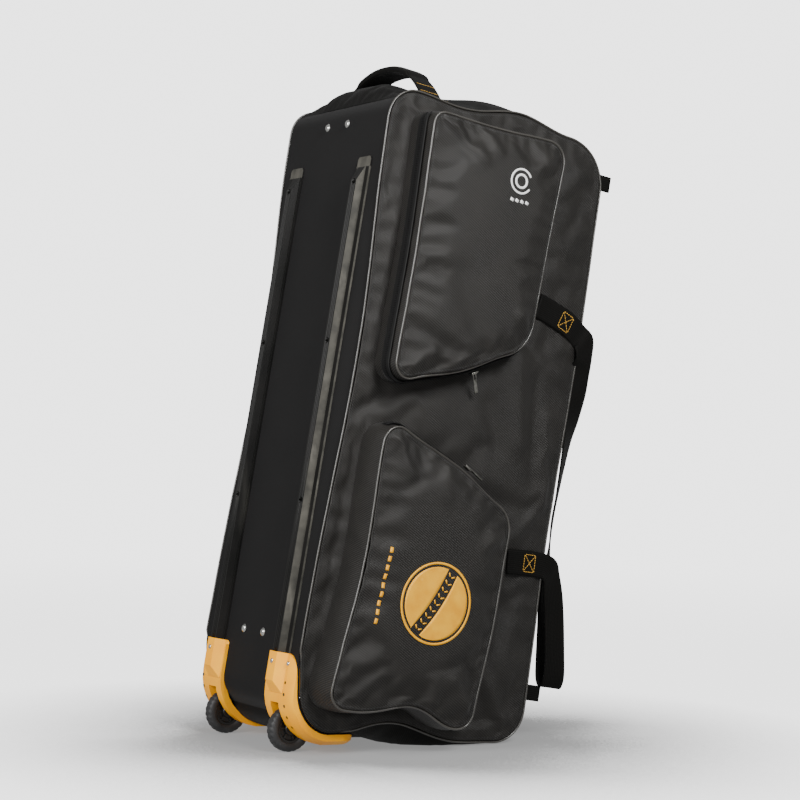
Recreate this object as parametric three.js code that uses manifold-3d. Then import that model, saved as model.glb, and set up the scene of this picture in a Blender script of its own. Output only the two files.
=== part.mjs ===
import * as THREE from 'three'
import { mergeVertices } from 'three/addons/utils/BufferGeometryUtils.js'
import Module from 'manifold-3d'

const wasm = await Module()
wasm.setup()

// Driving dimensions in millimetres. x runs from the back panel to the lid, y across, z up the bag
const bagLength = 950
const bagDepth = 394
const bagWidth = 300
const leanDegrees = 9
const clearance = 0.3

// Cloth, seams and the roundness of the panels
const clothWall = 3
const pocketWall = 2
const pipingRadius = 2.2
const pipingSides = 4
const sideCrown = 12
const boardFace = -3.5
const boardFlatHalf = 127
const boardBlend = 40
const heelInset = 8
const heelHeight = 110
const topCrown = 24
const bottomCrown = 18
const lidCrown = 10

// Skid rails on the back panel
const railSpacing = 200
const railLowerEnd = 97
const railUpperInset = 105
const railRidge = 13.2
const railFlange = 2.2
const railLip = 1
const railPlateau = 17
const railOuterFlange = 22.5
const railInnerFlange = 15.5
const railRampLength = 24
const railTabLength = 14
const railCornerRadius = 6
const railGroove = 0.8
const railScrewRadius = 5
const railScrewDepth = 6
const railScrewInsets = [145, 383, 619]

// Wheels and their axles
const wheelRadius = 33
const wheelWidth = 19
const wheelSetback = 26
const wheelHeight = 2.5
const treadDepth = 1.6
const treadLugs = 12
const hubRadius = 20
const hubWidth = 16
const hubBossRadius = 8
const hubRimWidth = 4
const hubDishDepth = 5
const tyreShoulder = 2
const axleRadius = 3
const axleFit = 0.15

// Corner housings
const housingTop = 110
const housingInner = 71
const housingOuter = 146
const housingTurn = 132
const skidTurn = 7
const housingSkin = 5
const housingWall = 2.5
const skidRadius = 73
const skidCentreSetback = 64.5
const skidCentreHeight = 60
const skidThickness = 10
const skidLength = 119.5
const skidTipRise = 7
const capRise = 0.2
const wellClearance = 2.4
const housingCornerRadius = 25
const capRampStart = 68
const capRampEnd = 52
const pinHoleRadius = 1.8
const pinHoleDepth = 5
const pinHoleAcross = 129.5
const pinHolePitch = 17
const screwHeadRadius = 3.6
const screwHeadHeight = 1.8
const screwHeadInset = 14
const flangeScrewAcross = 128.8

// Domed rivets on the back panel
const rivetRadius = 6
const rivetHeight = 3.5
const rivetSpacing = 60
const rivetBaseInset = 133
const rivetTopInset = 47

// Pockets on the near side panel
const upperPocketWidth = 243
const upperPocketLength = 410
const upperPocketDepth = 45
const upperPocketSetback = 41
const upperPocketBase = 514
const lowerPocketWidth = 258
const lowerPocketLength = 429
const lowerPocketDepth = 47
const lowerPocketSetback = 22
const lowerPocketBase = 38
const pocketFlare = 5
const pocketCrown = 7
const pocketPipingRadius = 1.8
const panelGap = 0.5
const bandGap = 1.5
const zipRise = 0.7
const zipPlace = 0.5

// Zips, sliders and pullers
const zipWidth = 9
const zipThickness = 1.4
const sliderLength = 13
const sliderWidth = 9
const sliderHeight = 4
const pullerLength = 26
const pullerWidth = 6
const pullerThickness = 1.6
const lidZipInset = 42
const lidZipSteps = 44
const lidSliderShares = { upper: 0.02, lower: 0.75 }
const tabLengths = { lower: 30, upper: 20 }
const tabWidth = 24
const tabThickness = 2.4
const tabInset = 24
const tabHeights = { lower: 0.109, upper: 0.95 }

// Webbing carry handles and the padded top handle
const webbingWidth = 38
const webbingThickness = 2.4
const handleWidth = 42
const handleThickness = 13
const handleSetback = 78
const handleRise = 50
const handleFootInset = 32
const handleArch = 2.3

const halfWidth = bagWidth / 2
const railUpperEnd = bagLength - railUpperInset
const seamSet = pipingRadius + clearance
const lean = THREE.MathUtils.degToRad(leanDegrees)
const wheelTrack = railSpacing / 2
const floorLevel = wheelHeight * Math.cos(lean) - wheelSetback * Math.sin(lean) - wheelRadius

// Corners of the side outline, as shares of the bag's depth and length
const bagCorners = [
  { at: 'lower back', depth: -0.01, length: 0, radius: 0.157 },
  { at: 'upper back', depth: -0.01, length: 1, radius: 0.114 },
  { at: 'upper front', depth: 0.995, length: 1.001, radius: 0.157 },
  { at: 'lower front', depth: 1.01, length: 0.028, radius: 0.132 },
]
const bagSides = [
  { side: 'back', bow: -0.03, skew: 0.02 },
  { side: 'top', bow: 0.015, skew: -0.057 },
  { side: 'front', bow: -0.006, skew: 0.022 },
  { side: 'bottom', bow: -0.044, skew: 0.056 },
]

// Corners of the pocket faces, as shares of each pocket's width and length
const upperPocketCorners = [
  { at: 'lower back', depth: 0.004, length: 0, radius: 0.09 },
  { at: 'upper back', depth: 0, length: 0.98, radius: 0.066 },
  { at: 'upper front', depth: 1, length: 1, radius: 0.115 },
  { at: 'lower front', depth: 0.95, length: 0.224, radius: 0.13 },
]
const upperPocketSides = [
  { side: 'back', bow: -0.012, skew: 0 },
  { side: 'top', bow: -0.012, skew: 0 },
  { side: 'front', bow: -0.01, skew: 0 },
  { side: 'bottom', bow: 0.028, skew: 0 },
]
const lowerPocketCorners = [
  { at: 'lower back', depth: 0, length: 0.019, radius: 0.1 },
  { at: 'upper back', depth: 0.085, length: 1, radius: 0.093 },
  { at: 'upper front', depth: 1, length: 0.746, radius: 0.174 },
  { at: 'lower front', depth: 0.938, length: 0, radius: 0.109 },
]
const lowerPocketSides = [
  { side: 'back', bow: -0.035, skew: 0 },
  { side: 'top', bow: 0.023, skew: -0.008 },
  { side: 'front', bow: 0.016, skew: 0 },
  { side: 'bottom', bow: -0.074, skew: -0.05 },
]

// Soft dents and folds of the side panels, as shares of depth and length, and of the crown
const sideFolds = [
  { depth: 0.84, length: 0.6, wide: 0.07, long: 0.12, rise: -0.3 },
  { depth: 0.9, length: 0.44, wide: 0.05, long: 0.1, rise: 0.22 },
  { depth: 0.8, length: 0.22, wide: 0.06, long: 0.06, rise: -0.35 },
  { depth: 0.86, length: 0.1, wide: 0.08, long: 0.05, rise: 0.3 },
]

// The hanging carry handle: shares of depth, half width and length, then which way its width lies
const carryHang = [
  { depth: 1.008, out: 1.043, length: 0.679, across: [0.6, 0, 0.8] },
  { depth: 1.045, out: 1.025, length: 0.656, across: [0.8, 0.3, 0.4] },
  { depth: 1.06, out: 0.98, length: 0.632, across: [1, 0.5, 0.1] },
  { depth: 1.062, out: 0.93, length: 0.598, across: [1, 0.6, 0] },
  { depth: 1.048, out: 0.896, length: 0.558, across: [0.85, 0.6, 0] },
  { depth: 1.043, out: 0.871, length: 0.516, across: [0.6, 0.8, 0] },
  { depth: 1.043, out: 0.85, length: 0.432, across: [0.5, 0.85, 0] },
  { depth: 1.046, out: 0.836, length: 0.389, across: [0.5, 0.85, 0] },
  { depth: 1.053, out: 0.823, length: 0.347, across: [0.6, 0.8, 0] },
  { depth: 1.063, out: 0.81, length: 0.305, across: [0.75, 0.6, 0] },
  { depth: 1.081, out: 0.797, length: 0.263, across: [0.9, 0.4, 0] },
  { depth: 1.107, out: 0.79, length: 0.216, across: [1, 0.2, 0] },
  { depth: 1.127, out: 0.788, length: 0.168, across: [1, 0.1, 0] },
  { depth: 1.138, out: 0.797, length: 0.14, across: [1, 0, 0] },
  { depth: 1.142, out: 0.823, length: 0.127, across: [1, 0, 0] },
  { depth: 1.144, out: 0.863, length: 0.122, across: [1, 0, 0] },
  { depth: 1.144, out: 0.904, length: 0.127, across: [1, 0, 0] },
  { depth: 1.14, out: 0.93, length: 0.144, across: [1, 0, 0] },
  { depth: 1.122, out: 0.94, length: 0.185, across: [1, 0.1, 0] },
  { depth: 1.1, out: 0.947, length: 0.225, across: [1, 0.1, 0.1] },
  { depth: 1.073, out: 0.964, length: 0.263, across: [0.9, 0.1, 0.4] },
  { depth: 1.046, out: 0.989, length: 0.29, across: [0.6, 0.1, 0.8] },
  { depth: 1.022, out: 1.019, length: 0.306, across: [0.3, 0, 1] },
]
// Where each end of the carry handle lies on the side panel
const carryUpperEnd = [
  { depth: 0.757, length: 0.719, across: [0.25, 0, 1] },
  { depth: 0.838, length: 0.712, across: [0.25, 0, 1] },
  { depth: 0.919, length: 0.702, across: [0.35, 0, 1] },
  { depth: 0.98, length: 0.688, across: [0.5, 0, 0.9] },
]
const carryLowerEnd = [
  { depth: 0.982, length: 0.312, across: [0.1, 0, 1] },
  { depth: 0.888, length: 0.312, across: [0, 0, 1] },
  { depth: 0.802, length: 0.309, across: [0, 0, 1] },
]

// Materials
const sideCloth = new THREE.MeshStandardMaterial({ color: 0x3a3936, roughness: 0.75 })
const boardCloth = new THREE.MeshStandardMaterial({ color: 0x232323, roughness: 0.9 })
const endCloth = new THREE.MeshStandardMaterial({ color: 0x2b2b2a, roughness: 0.85 })
const pipingCord = new THREE.MeshStandardMaterial({ color: 0xb5b0a5, roughness: 0.6 })
const railPlastic = new THREE.MeshStandardMaterial({ color: 0x3b3b3a, roughness: 0.45 })
const housingPlastic = new THREE.MeshStandardMaterial({ color: 0xf5b94f, roughness: 0.45 })
const tyreRubber = new THREE.MeshStandardMaterial({ color: 0x1d1d1e, roughness: 0.8 })
const hubPlastic = new THREE.MeshStandardMaterial({ color: 0x141414, roughness: 0.5 })
const brightSteel = new THREE.MeshStandardMaterial({ color: 0xc9c9c7, roughness: 0.25, metalness: 1 })
const zipTape = new THREE.MeshStandardMaterial({ color: 0x151515, roughness: 0.7 })
const sliderMetal = new THREE.MeshStandardMaterial({ color: 0x2a2a2a, roughness: 0.4, metalness: 0.6 })
const webbing = new THREE.MeshStandardMaterial({ color: 0x1a1a19, roughness: 0.8 })

const object = new THREE.Group()
const bag = new THREE.Group()
bag.rotation.y = lean
object.add(bag)

function addPiece(name, geometry, material) {
  const mesh = new THREE.Mesh(geometry, material)
  mesh.name = name
  bag.add(mesh)
  return mesh
}

// Closed geometry from points and faces, turned so that its faces point out
function closedGeometry(points, faces) {
  let volume = 0
  for (const [a, b, c] of faces) {
    volume += points[a].dot(new THREE.Vector3().crossVectors(points[b], points[c]))
  }
  const order = volume < 0 ? faces.map(([a, b, c]) => [a, c, b]) : faces
  const geometry = new THREE.BufferGeometry()
  geometry.setAttribute('position', new THREE.Float32BufferAttribute(points.flatMap(p => [p.x, p.y, p.z]), 3))
  geometry.setIndex(order.flat())
  return geometry
}

function addQuad(faces, a, b, c, d) {
  faces.push([a, b, c], [a, c, d])
}

// A wall between two grids of points, closed along its open edges
function wallBetween(outer, inner, loop) {
  const rows = outer.length
  const columns = outer[0].length
  const points = [...outer.flat(), ...inner.flat()]
  const faces = []
  const at = (side, i, j) => side * rows * columns + (i % rows) * columns + j
  const steps = loop ? rows : rows - 1
  const last = columns - 1
  for (let i = 0; i < steps; i++) {
    for (let j = 0; j < last; j++) {
      addQuad(faces, at(0, i, j), at(0, i + 1, j), at(0, i + 1, j + 1), at(0, i, j + 1))
      addQuad(faces, at(1, i, j + 1), at(1, i + 1, j + 1), at(1, i + 1, j), at(1, i, j))
    }
    addQuad(faces, at(0, i + 1, 0), at(0, i, 0), at(1, i, 0), at(1, i + 1, 0))
    addQuad(faces, at(0, i, last), at(0, i + 1, last), at(1, i + 1, last), at(1, i, last))
  }
  if (!loop) {
    for (let j = 0; j < last; j++) {
      addQuad(faces, at(0, 0, j), at(0, 0, j + 1), at(1, 0, j + 1), at(1, 0, j))
      addQuad(faces, at(0, rows - 1, j + 1), at(0, rows - 1, j), at(1, rows - 1, j), at(1, rows - 1, j + 1))
    }
  }
  return closedGeometry(points, faces)
}

// Rings of points joined one to the next, closed as a loop or by flat ends
function loft(rings, loop) {
  const sides = rings[0].length
  const faces = []
  const at = (i, k) => (i % rings.length) * sides + (k % sides)
  const steps = loop ? rings.length : rings.length - 1
  for (let i = 0; i < steps; i++) {
    for (let k = 0; k < sides; k++) addQuad(faces, at(i, k), at(i + 1, k), at(i + 1, k + 1), at(i, k + 1))
  }
  if (!loop) {
    for (let k = 1; k < sides - 1; k++) {
      faces.push([at(0, 0), at(0, k), at(0, k + 1)])
      faces.push([at(rings.length - 1, 0), at(rings.length - 1, k + 1), at(rings.length - 1, k)])
    }
  }
  return closedGeometry(rings.flat(), faces)
}

function solidOf(geometry) {
  const plain = new THREE.BufferGeometry()
  plain.setAttribute('position', geometry.getAttribute('position').clone())
  if (geometry.index) plain.setIndex(geometry.index.clone())
  const merged = mergeVertices(plain, 1e-4)
  return new wasm.Manifold(new wasm.Mesh({
    numProp: 3,
    vertProperties: new Float32Array(merged.getAttribute('position').array),
    triVerts: new Uint32Array(merged.index.array),
  }))
}

// The largest body of a solid, as geometry
function geometryOf(solid) {
  const bodies = solid.decompose().sort((a, b) => b.volume() - a.volume())
  const mesh = bodies[0].getMesh()
  const geometry = new THREE.BufferGeometry()
  geometry.setAttribute('position', new THREE.BufferAttribute(new Float32Array(mesh.vertProperties), 3))
  geometry.setIndex(new THREE.BufferAttribute(new Uint32Array(mesh.triVerts), 1))
  return geometry
}

function boxSolid(low, high) {
  const box = new THREE.BoxGeometry(high[0] - low[0], high[1] - low[1], high[2] - low[2])
  box.translate((low[0] + high[0]) / 2, (low[1] + high[1]) / 2, (low[2] + high[2]) / 2)
  return solidOf(box)
}

// A cylinder from one point to another
function barGeometry(from, to, radius, sides) {
  const bar = new THREE.CylinderGeometry(radius, radius, from.distanceTo(to), sides)
  const direction = to.clone().sub(from).normalize()
  bar.applyQuaternion(new THREE.Quaternion().setFromUnitVectors(new THREE.Vector3(0, 1, 0), direction))
  bar.translate(...from.clone().add(to).multiplyScalar(0.5).toArray())
  return bar
}

// A profile in the bag's side plane, made solid between two places across the bag
function sideProfile(points, from, to) {
  const shape = new THREE.Shape(points)
  const solid = new THREE.ExtrudeGeometry(shape, { depth: to - from, bevelEnabled: false })
  solid.rotateX(Math.PI / 2)
  solid.translate(0, to, 0)
  return solidOf(solid)
}

// Rounded outlines: an arc at each corner and a bowed side between corners
function cornerArc(before, corner, after) {
  const back = before.point.clone().sub(corner.point).normalize()
  const ahead = after.point.clone().sub(corner.point).normalize()
  const half = Math.acos(back.dot(ahead)) / 2
  const reach = corner.radius / Math.tan(half)
  const bisector = back.clone().add(ahead).normalize()
  const centre = bisector.multiplyScalar(corner.radius / Math.sin(half)).add(corner.point)
  return {
    centre,
    radius: corner.radius,
    start: back.multiplyScalar(reach).add(corner.point),
    end: ahead.multiplyScalar(reach).add(corner.point),
  }
}

// Stations round an outline. steps holds the steps of each corner and of each side
function outlineStations(corners, sides, setback, base, width, length, steps, inset = () => 0) {
  const placed = corners.map(row => ({
    point: new THREE.Vector2(setback + row.depth * width, base + row.length * length),
    radius: row.radius * width,
  }))
  const count = placed.length
  const arcs = placed.map((corner, i) => {
    return cornerArc(placed[(i + count - 1) % count], corner, placed[(i + 1) % count])
  })
  const points = []
  arcs.forEach((arc, i) => {
    const first = arc.start.clone().sub(arc.centre).angle()
    let turn = arc.end.clone().sub(arc.centre).angle() - first
    if (turn > 0) turn -= 2 * Math.PI
    for (let k = 0; k < steps.cornerSteps; k++) {
      const angle = first + turn * k / steps.cornerSteps
      const spoke = new THREE.Vector2(Math.cos(angle), Math.sin(angle))
      points.push(spoke.multiplyScalar(arc.radius).add(arc.centre))
    }
    const next = arcs[(i + 1) % count].start
    const along = next.clone().sub(arc.end)
    const out = new THREE.Vector2(-along.y, along.x).normalize()
    const sideSteps = i % 2 === 0 ? steps.longSteps : steps.shortSteps
    for (let k = 0; k < sideSteps; k++) {
      const t = k / sideSteps
      const bow = Math.sin(Math.PI * t) ** 2 * (sides[i].bow + sides[i].skew * Math.cos(Math.PI * t)) * width
      points.push(arc.end.clone().addScaledVector(along, t).addScaledVector(out, bow))
    }
  })
  for (const point of points) point.x += inset(point)
  return points.map((point, i) => {
    const before = points[(i + points.length - 1) % points.length]
    const tangent = points[(i + 1) % points.length].clone().sub(before)
    return { point, normal: new THREE.Vector2(-tangent.y, tangent.x).normalize() }
  })
}

// A run of stations from one index to another, going round the outline
function runOf(stations, from, to) {
  const run = []
  for (let i = from; i <= to; i++) run.push(stations[(i + stations.length) % stations.length])
  return run
}

function shiftAlong(station, distance) {
  const tangent = new THREE.Vector2(station.normal.y, -station.normal.x)
  return { point: station.point.clone().addScaledVector(tangent, distance), normal: station.normal }
}

// A patch that fills an outline: four runs meet at the middles of the corners
function patchPoints(stations, steps, inset) {
  const half = steps.cornerSteps / 2
  const long = steps.cornerSteps + steps.longSteps
  const short = steps.cornerSteps + steps.shortSteps
  const inner = stations.map(s => s.point.clone().addScaledVector(s.normal, -inset))
  const pick = i => inner[(i + inner.length) % inner.length]
  const left = t => pick(half + t)
  const top = s => pick(half + long + s)
  const right = t => pick(half + long + short + long - t)
  const bottom = s => pick(half - s)
  const rows = []
  for (let i = 0; i <= short; i++) {
    const row = []
    for (let j = 0; j <= long; j++) {
      const s = i / short
      const t = j / long
      const point = bottom(i).clone().multiplyScalar(1 - t).addScaledVector(top(i), t)
      point.addScaledVector(left(j), 1 - s).addScaledVector(right(j), s)
      point.addScaledVector(left(0), -(1 - s) * (1 - t)).addScaledVector(right(0), -s * (1 - t))
      point.addScaledVector(left(long), -(1 - s) * t).addScaledVector(right(long), -s * t)
      row.push(point)
    }
    rows.push(row)
  }
  return rows
}

const bagSteps = { cornerSteps: 4, longSteps: 14, shortSteps: 6 }
const smooth = (low, high, value) => THREE.MathUtils.smoothstep(value, low, high)

// The lower back corner is set in behind the housings
function heel(point) {
  return heelInset * (1 - smooth(heelHeight / 2, heelHeight, point.y)) * (1 - smooth(0, heelHeight, point.x))
}

const bagOutline = outlineStations(bagCorners, bagSides, 0, 0, bagDepth, bagLength, bagSteps, heel)
const longRun = bagSteps.cornerSteps + bagSteps.longSteps
const shortRun = bagSteps.cornerSteps + bagSteps.shortSteps
const seams = { lowerBack: 2, upperBack: longRun + 1, upperFront: longRun + shortRun + 2 }
seams.lowerFront = seams.upperFront + longRun

// How far a side panel bulges at a place on it
function sideLift(x, z) {
  const across = Math.min(1, Math.abs(2 * x / bagDepth - 1))
  const along = Math.min(1, Math.abs(2 * z / bagLength - 1))
  let lift = sideCrown * (1 - across ** 2.6) * (1 - along ** 4)
  for (const fold of sideFolds) {
    const u = (x / bagDepth - fold.depth) / fold.wide
    const v = (z / bagLength - fold.length) / fold.long
    lift += sideCrown * fold.rise * Math.exp(-u * u - v * v)
  }
  return Math.max(0, lift)
}

const sideFace = halfWidth + clothWall - pipingRadius

function sidePanel(hand) {
  const rows = patchPoints(bagOutline, bagSteps, seamSet)
  const place = depth => rows.map(row => row.map(p => {
    return new THREE.Vector3(p.x, hand * (sideFace + sideLift(p.x, p.y) - depth), p.y)
  }))
  return wallBetween(place(0), place(clothWall), false)
}

// A panel that runs along part of the outline and from seam to seam across the bag
function stripPanel(from, to, across, reach) {
  const run = runOf(bagOutline, from, to)
  run[0] = shiftAlong(run[0], clearance)
  run[run.length - 1] = shiftAlong(run[run.length - 1], -clearance)
  const place = depth => run.map((station, j) => across.map(share => {
    const y = share * (halfWidth - seamSet)
    const out = reach(station, j / (run.length - 1), Math.abs(share)) - depth
    const p = station.point.clone().addScaledVector(station.normal, out)
    return new THREE.Vector3(p.x, y, p.y)
  }))
  return wallBetween(place(0), place(clothWall), false)
}

function boardReach(station, along, share) {
  const lower = bagCorners[0].radius * bagDepth
  const upper = bagLength - bagCorners[1].radius * bagDepth
  const z = station.point.y
  const ends = smooth(lower - boardBlend, lower, z) * (1 - smooth(upper, upper + boardBlend / 2, z))
  const flat = 1 - smooth(boardFlatHalf / (halfWidth - seamSet), 1, share)
  return (station.point.x - boardFace) * ends * flat
}

function topReach(station, along, share) {
  return topCrown * Math.sin(Math.PI * Math.min(1, 0.12 + along * 0.8)) ** 0.7 * (1 - smooth(0.3, 1, share))
}

function lidReach(station, along, share) {
  return lidCrown * Math.sin(Math.PI * along) ** 0.6 * (1 - share ** 3)
}

// The bottom end bulges and lies flat on the floor where it would go below it
function bottomReach(station, along, share) {
  const bulge = bottomCrown * Math.sin(Math.PI * along) ** 0.5 * (1 - share ** 3.4)
  const { point, normal } = station
  const rise = point.y * Math.cos(lean) - point.x * Math.sin(lean) - floorLevel
  const toFloor = rise / -(normal.y * Math.cos(lean) - normal.x * Math.sin(lean))
  return normal.y < -0.3 ? Math.min(bulge, toFloor) : bulge
}

const railInnerShare = boardFlatHalf / (halfWidth - seamSet)
const boardShares = [-1, -0.94, -railInnerShare, -0.4, 0, 0.4, railInnerShare, 0.94, 1]
const evenShares = count => Array.from({ length: count + 1 }, (_, i) => 2 * i / count - 1)

// A span across the bag on one side of its middle, lower end first
const between = (hand, from, to) => [Math.min(hand * from, hand * to), Math.max(hand * from, hand * to)]

// Skid rails
function railSection(extra) {
  const ridgeBase = railPlateau / 2 + 2.5 + extra
  const top = railRidge + extra
  const flange = railFlange + extra
  const points = [
    [-railInnerFlange - extra, 0],
    [-railInnerFlange - extra, flange + railLip],
    [-railInnerFlange + 2, flange + railLip],
    [-railInnerFlange + 2.6, flange],
    [-ridgeBase, flange],
    [-railPlateau / 2 - extra, top],
  ]
  if (extra === 0) {
    for (const groove of [-1, 0, 1]) {
      const middle = groove * railPlateau / 4
      points.push([middle - 1.2, top], [middle, top - railGroove], [middle + 1.2, top])
    }
  }
  points.push(
    [railPlateau / 2 + extra, top],
    [ridgeBase, flange],
    [railOuterFlange - 2.6, flange],
    [railOuterFlange - 2, flange + railLip],
    [railOuterFlange + extra, flange + railLip],
    [railOuterFlange + extra, 0],
  )
  return points
}

const railSeat = boardFace - clearance

// The rail's section swept up the bag; hand is -1 on the near side
function railBar(hand, extra, from, to) {
  const section = railSection(extra).map(([w, h]) => new THREE.Vector2(railSeat - h, hand * (wheelTrack + w)))
  const shape = new THREE.Shape(section)
  const bar = new THREE.ExtrudeGeometry(shape, { depth: to - from, bevelEnabled: false })
  bar.translate(0, 0, from)
  return solidOf(bar)
}

function rail(hand) {
  const rampTop = railUpperEnd - railTabLength
  const far = railSeat - railRidge - 1
  const flangeFace = railSeat - railFlange
  let solid = railBar(hand, 0, railLowerEnd, railUpperEnd)
  const low = hand * wheelTrack - railOuterFlange - 1
  const high = hand * wheelTrack + railOuterFlange + 1
  const ramp = [
    new THREE.Vector2(far, rampTop - railRampLength - railRampLength / railRidge),
    new THREE.Vector2(flangeFace, rampTop),
    new THREE.Vector2(flangeFace, railUpperEnd + 1),
    new THREE.Vector2(far, railUpperEnd + 1),
  ]
  solid = solid.subtract(sideProfile(ramp, low, high))
  for (const inset of railScrewInsets) {
    const height = bagLength - inset
    const from = new THREE.Vector3(far, hand * wheelTrack, height)
    const to = new THREE.Vector3(railSeat - railRidge + railScrewDepth, hand * wheelTrack, height)
    solid = solid.subtract(solidOf(barGeometry(from, to, railScrewRadius, 10)))
  }
  const [left, right] = between(hand, wheelTrack - railInnerFlange, wheelTrack + railOuterFlange)
  const outline = roundedTop(left, right, railLowerEnd - 1, railUpperEnd, railCornerRadius, railCornerRadius)
  return geometryOf(solid.intersect(outlineAcross(outline, far - 1, railSeat + 1)))
}

// A rectangle seen from behind, with its two upper corners rounded
function roundedTop(left, right, bottom, top, leftRadius, rightRadius) {
  const shape = new THREE.Shape()
  shape.moveTo(left, bottom)
  shape.lineTo(right, bottom)
  shape.lineTo(right, top - rightRadius)
  shape.absarc(right - rightRadius, top - rightRadius, rightRadius, 0, Math.PI / 2, false)
  shape.lineTo(left + leftRadius, top)
  shape.absarc(left + leftRadius, top - leftRadius, leftRadius, Math.PI / 2, Math.PI, false)
  shape.closePath()
  return shape
}

// A shape drawn in y and z, made solid along x
function outlineAcross(shape, from, to) {
  const solid = new THREE.ExtrudeGeometry(shape, { depth: to - from, bevelEnabled: false, curveSegments: 4 })
  solid.applyMatrix4(new THREE.Matrix4().makeBasis(
    new THREE.Vector3(0, 1, 0), new THREE.Vector3(0, 0, 1), new THREE.Vector3(1, 0, 0)))
  solid.translate(from, 0, 0)
  return solidOf(solid)
}

// Curve of the skid, from the housing's top round the corner to its tip; offset grows outwards
function skidCurve(offset, margin) {
  const radius = skidRadius + offset
  const points = [new THREE.Vector2(skidCentreSetback - radius, housingTop + 1)]
  for (let k = 0; k <= 8; k++) {
    const angle = Math.PI + Math.PI / 2 * k / 8
    points.push(new THREE.Vector2(
      skidCentreSetback + radius * Math.cos(angle), skidCentreHeight + radius * Math.sin(angle)))
  }
  points.push(new THREE.Vector2(skidLength + margin, skidCentreHeight - radius + skidTipRise))
  points.push(new THREE.Vector2(skidLength + margin, housingTop + 1))
  return points
}

// All that lies inside the skid's curve, which turns in towards the bag's side
function skidRegion(hand, offset, turn, margin) {
  const rows = [
    { across: housingInner - margin, offset },
    { across: housingTurn, offset },
    { across: housingOuter + margin, offset: offset - turn },
  ]
  const rings = rows.map(row => skidCurve(row.offset, margin).map(p => {
    return new THREE.Vector3(p.x, hand * row.across, p.y)
  }))
  return solidOf(loft(rings, false))
}

// The wheel well seen from the side, open below and behind
function wellArch(offset) {
  const radius = wheelRadius + wellClearance + offset
  const points = [new THREE.Vector2(-wheelRadius, wheelHeight + radius)]
  for (let k = 0; k <= 6; k++) {
    const angle = Math.PI / 2 * (1 - k / 6)
    points.push(new THREE.Vector2(
      wheelSetback + radius * Math.cos(angle), wheelHeight + radius * Math.sin(angle)))
  }
  points.push(new THREE.Vector2(wheelSetback + radius, -wheelRadius))
  points.push(new THREE.Vector2(-wheelRadius, -wheelRadius))
  return points
}

// The outer form of a housing. The cloth keeps a margin to it, and is cut away outside it
function housingForm(hand, margin, outward) {
  const region = skidRegion(hand, outward, outward > 0 ? 0 : skidTurn, margin)
  const plate = region.subtract(skidRegion(hand, -skidThickness - margin, skidTurn, margin + 1))
  const [low, high] = between(hand, housingInner - margin, housingOuter + margin)
  const left = hand < 0 ? housingCornerRadius : railCornerRadius
  const right = hand < 0 ? railCornerRadius : housingCornerRadius
  const shape = roundedTop(low, high, -housingTop, housingTop + margin, left, right)
  const trimmed = plate.intersect(outlineAcross(shape, -housingTop, 2 * skidLength))
  const half = wheelWidth / 2 + wellClearance + housingWall + margin
  const [wellLow, wellHigh] = between(hand, wheelTrack - half, wheelTrack + half)
  const shell = sideProfile(wellArch(housingWall + margin), wellLow, wellHigh).intersect(region)
  return trimmed.add(shell)
}

// The raised cap over the rail's lower end
function housingCap(hand) {
  const seat = skidCentreSetback - skidRadius
  const top = railSeat - railRidge - housingWall
  const baseHalf = railOuterFlange + housingWall
  const plateauHalf = railPlateau / 2 + housingWall
  const ring = (height, reach) => [
    [seat + housingSkin, -baseHalf], [seat, -baseHalf], [reach, -plateauHalf],
    [reach, plateauHalf], [seat, baseHalf], [seat + housingSkin, baseHalf],
  ].map(([x, w]) => new THREE.Vector3(x, hand * wheelTrack + w, height))
  const rings = [ring(capRampEnd, seat - capRise), ring(capRampStart, top), ring(housingTop, top)]
  return solidOf(loft(rings, false))
}

function wheelHousing(hand) {
  let solid = housingForm(hand, 0, 0).add(housingCap(hand))
  const half = wheelWidth / 2 + wellClearance
  const [low, high] = between(hand, wheelTrack - half, wheelTrack + half)
  solid = solid.subtract(sideProfile(wellArch(0), low, high))
  solid = solid.subtract(railBar(hand, clearance, railLowerEnd - clearance, housingTop + 2))
  const seat = railSeat - clearance
  const inner = wheelTrack - railInnerFlange - clearance
  const outer = wheelTrack + railOuterFlange + clearance
  const [left, right] = between(hand, inner, outer)
  const lowerCorner = [seat, left, railLowerEnd - clearance]
  solid = solid.subtract(boxSolid(lowerCorner, [boardFace + 1, right, housingTop + 2]))
  const axle = new THREE.Vector3(wheelSetback, 0, wheelHeight)
  const reach = axleEnds(hand).map(y => axle.clone().setY(y))
  reach[0].y -= clearance
  reach[1].y += clearance
  solid = solid.subtract(solidOf(barGeometry(reach[0], reach[1], axleRadius + clearance, 12)))
  for (let k = 0; k < 5; k++) {
    const angle = Math.PI + Math.max(0, (k - 0.5) * pinHolePitch / skidRadius)
    const drop = k === 0 ? pinHolePitch / 2 : 0
    const direction = new THREE.Vector3(Math.cos(angle), 0, Math.sin(angle))
    const centre = new THREE.Vector3(skidCentreSetback, hand * pinHoleAcross, skidCentreHeight + drop)
    const from = centre.clone().addScaledVector(direction, skidRadius - pinHoleDepth)
    const to = centre.clone().addScaledVector(direction, skidRadius + 1)
    solid = solid.subtract(solidOf(barGeometry(from, to, pinHoleRadius, 6)))
  }
  return geometryOf(solid)
}

function axleEnds(hand) {
  const half = wheelWidth / 2 + wellClearance + housingWall + housingSkin
  return between(hand, wheelTrack - half, wheelTrack + half)
}

// Wheels: lathe profiles of radius and place across, turned about y
function latheAcross(profile, segments, centre) {
  const lathe = new THREE.LatheGeometry(profile.map(([r, y]) => new THREE.Vector2(r, y)), segments)
  lathe.translate(centre.x, centre.y, centre.z)
  return lathe
}

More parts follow.
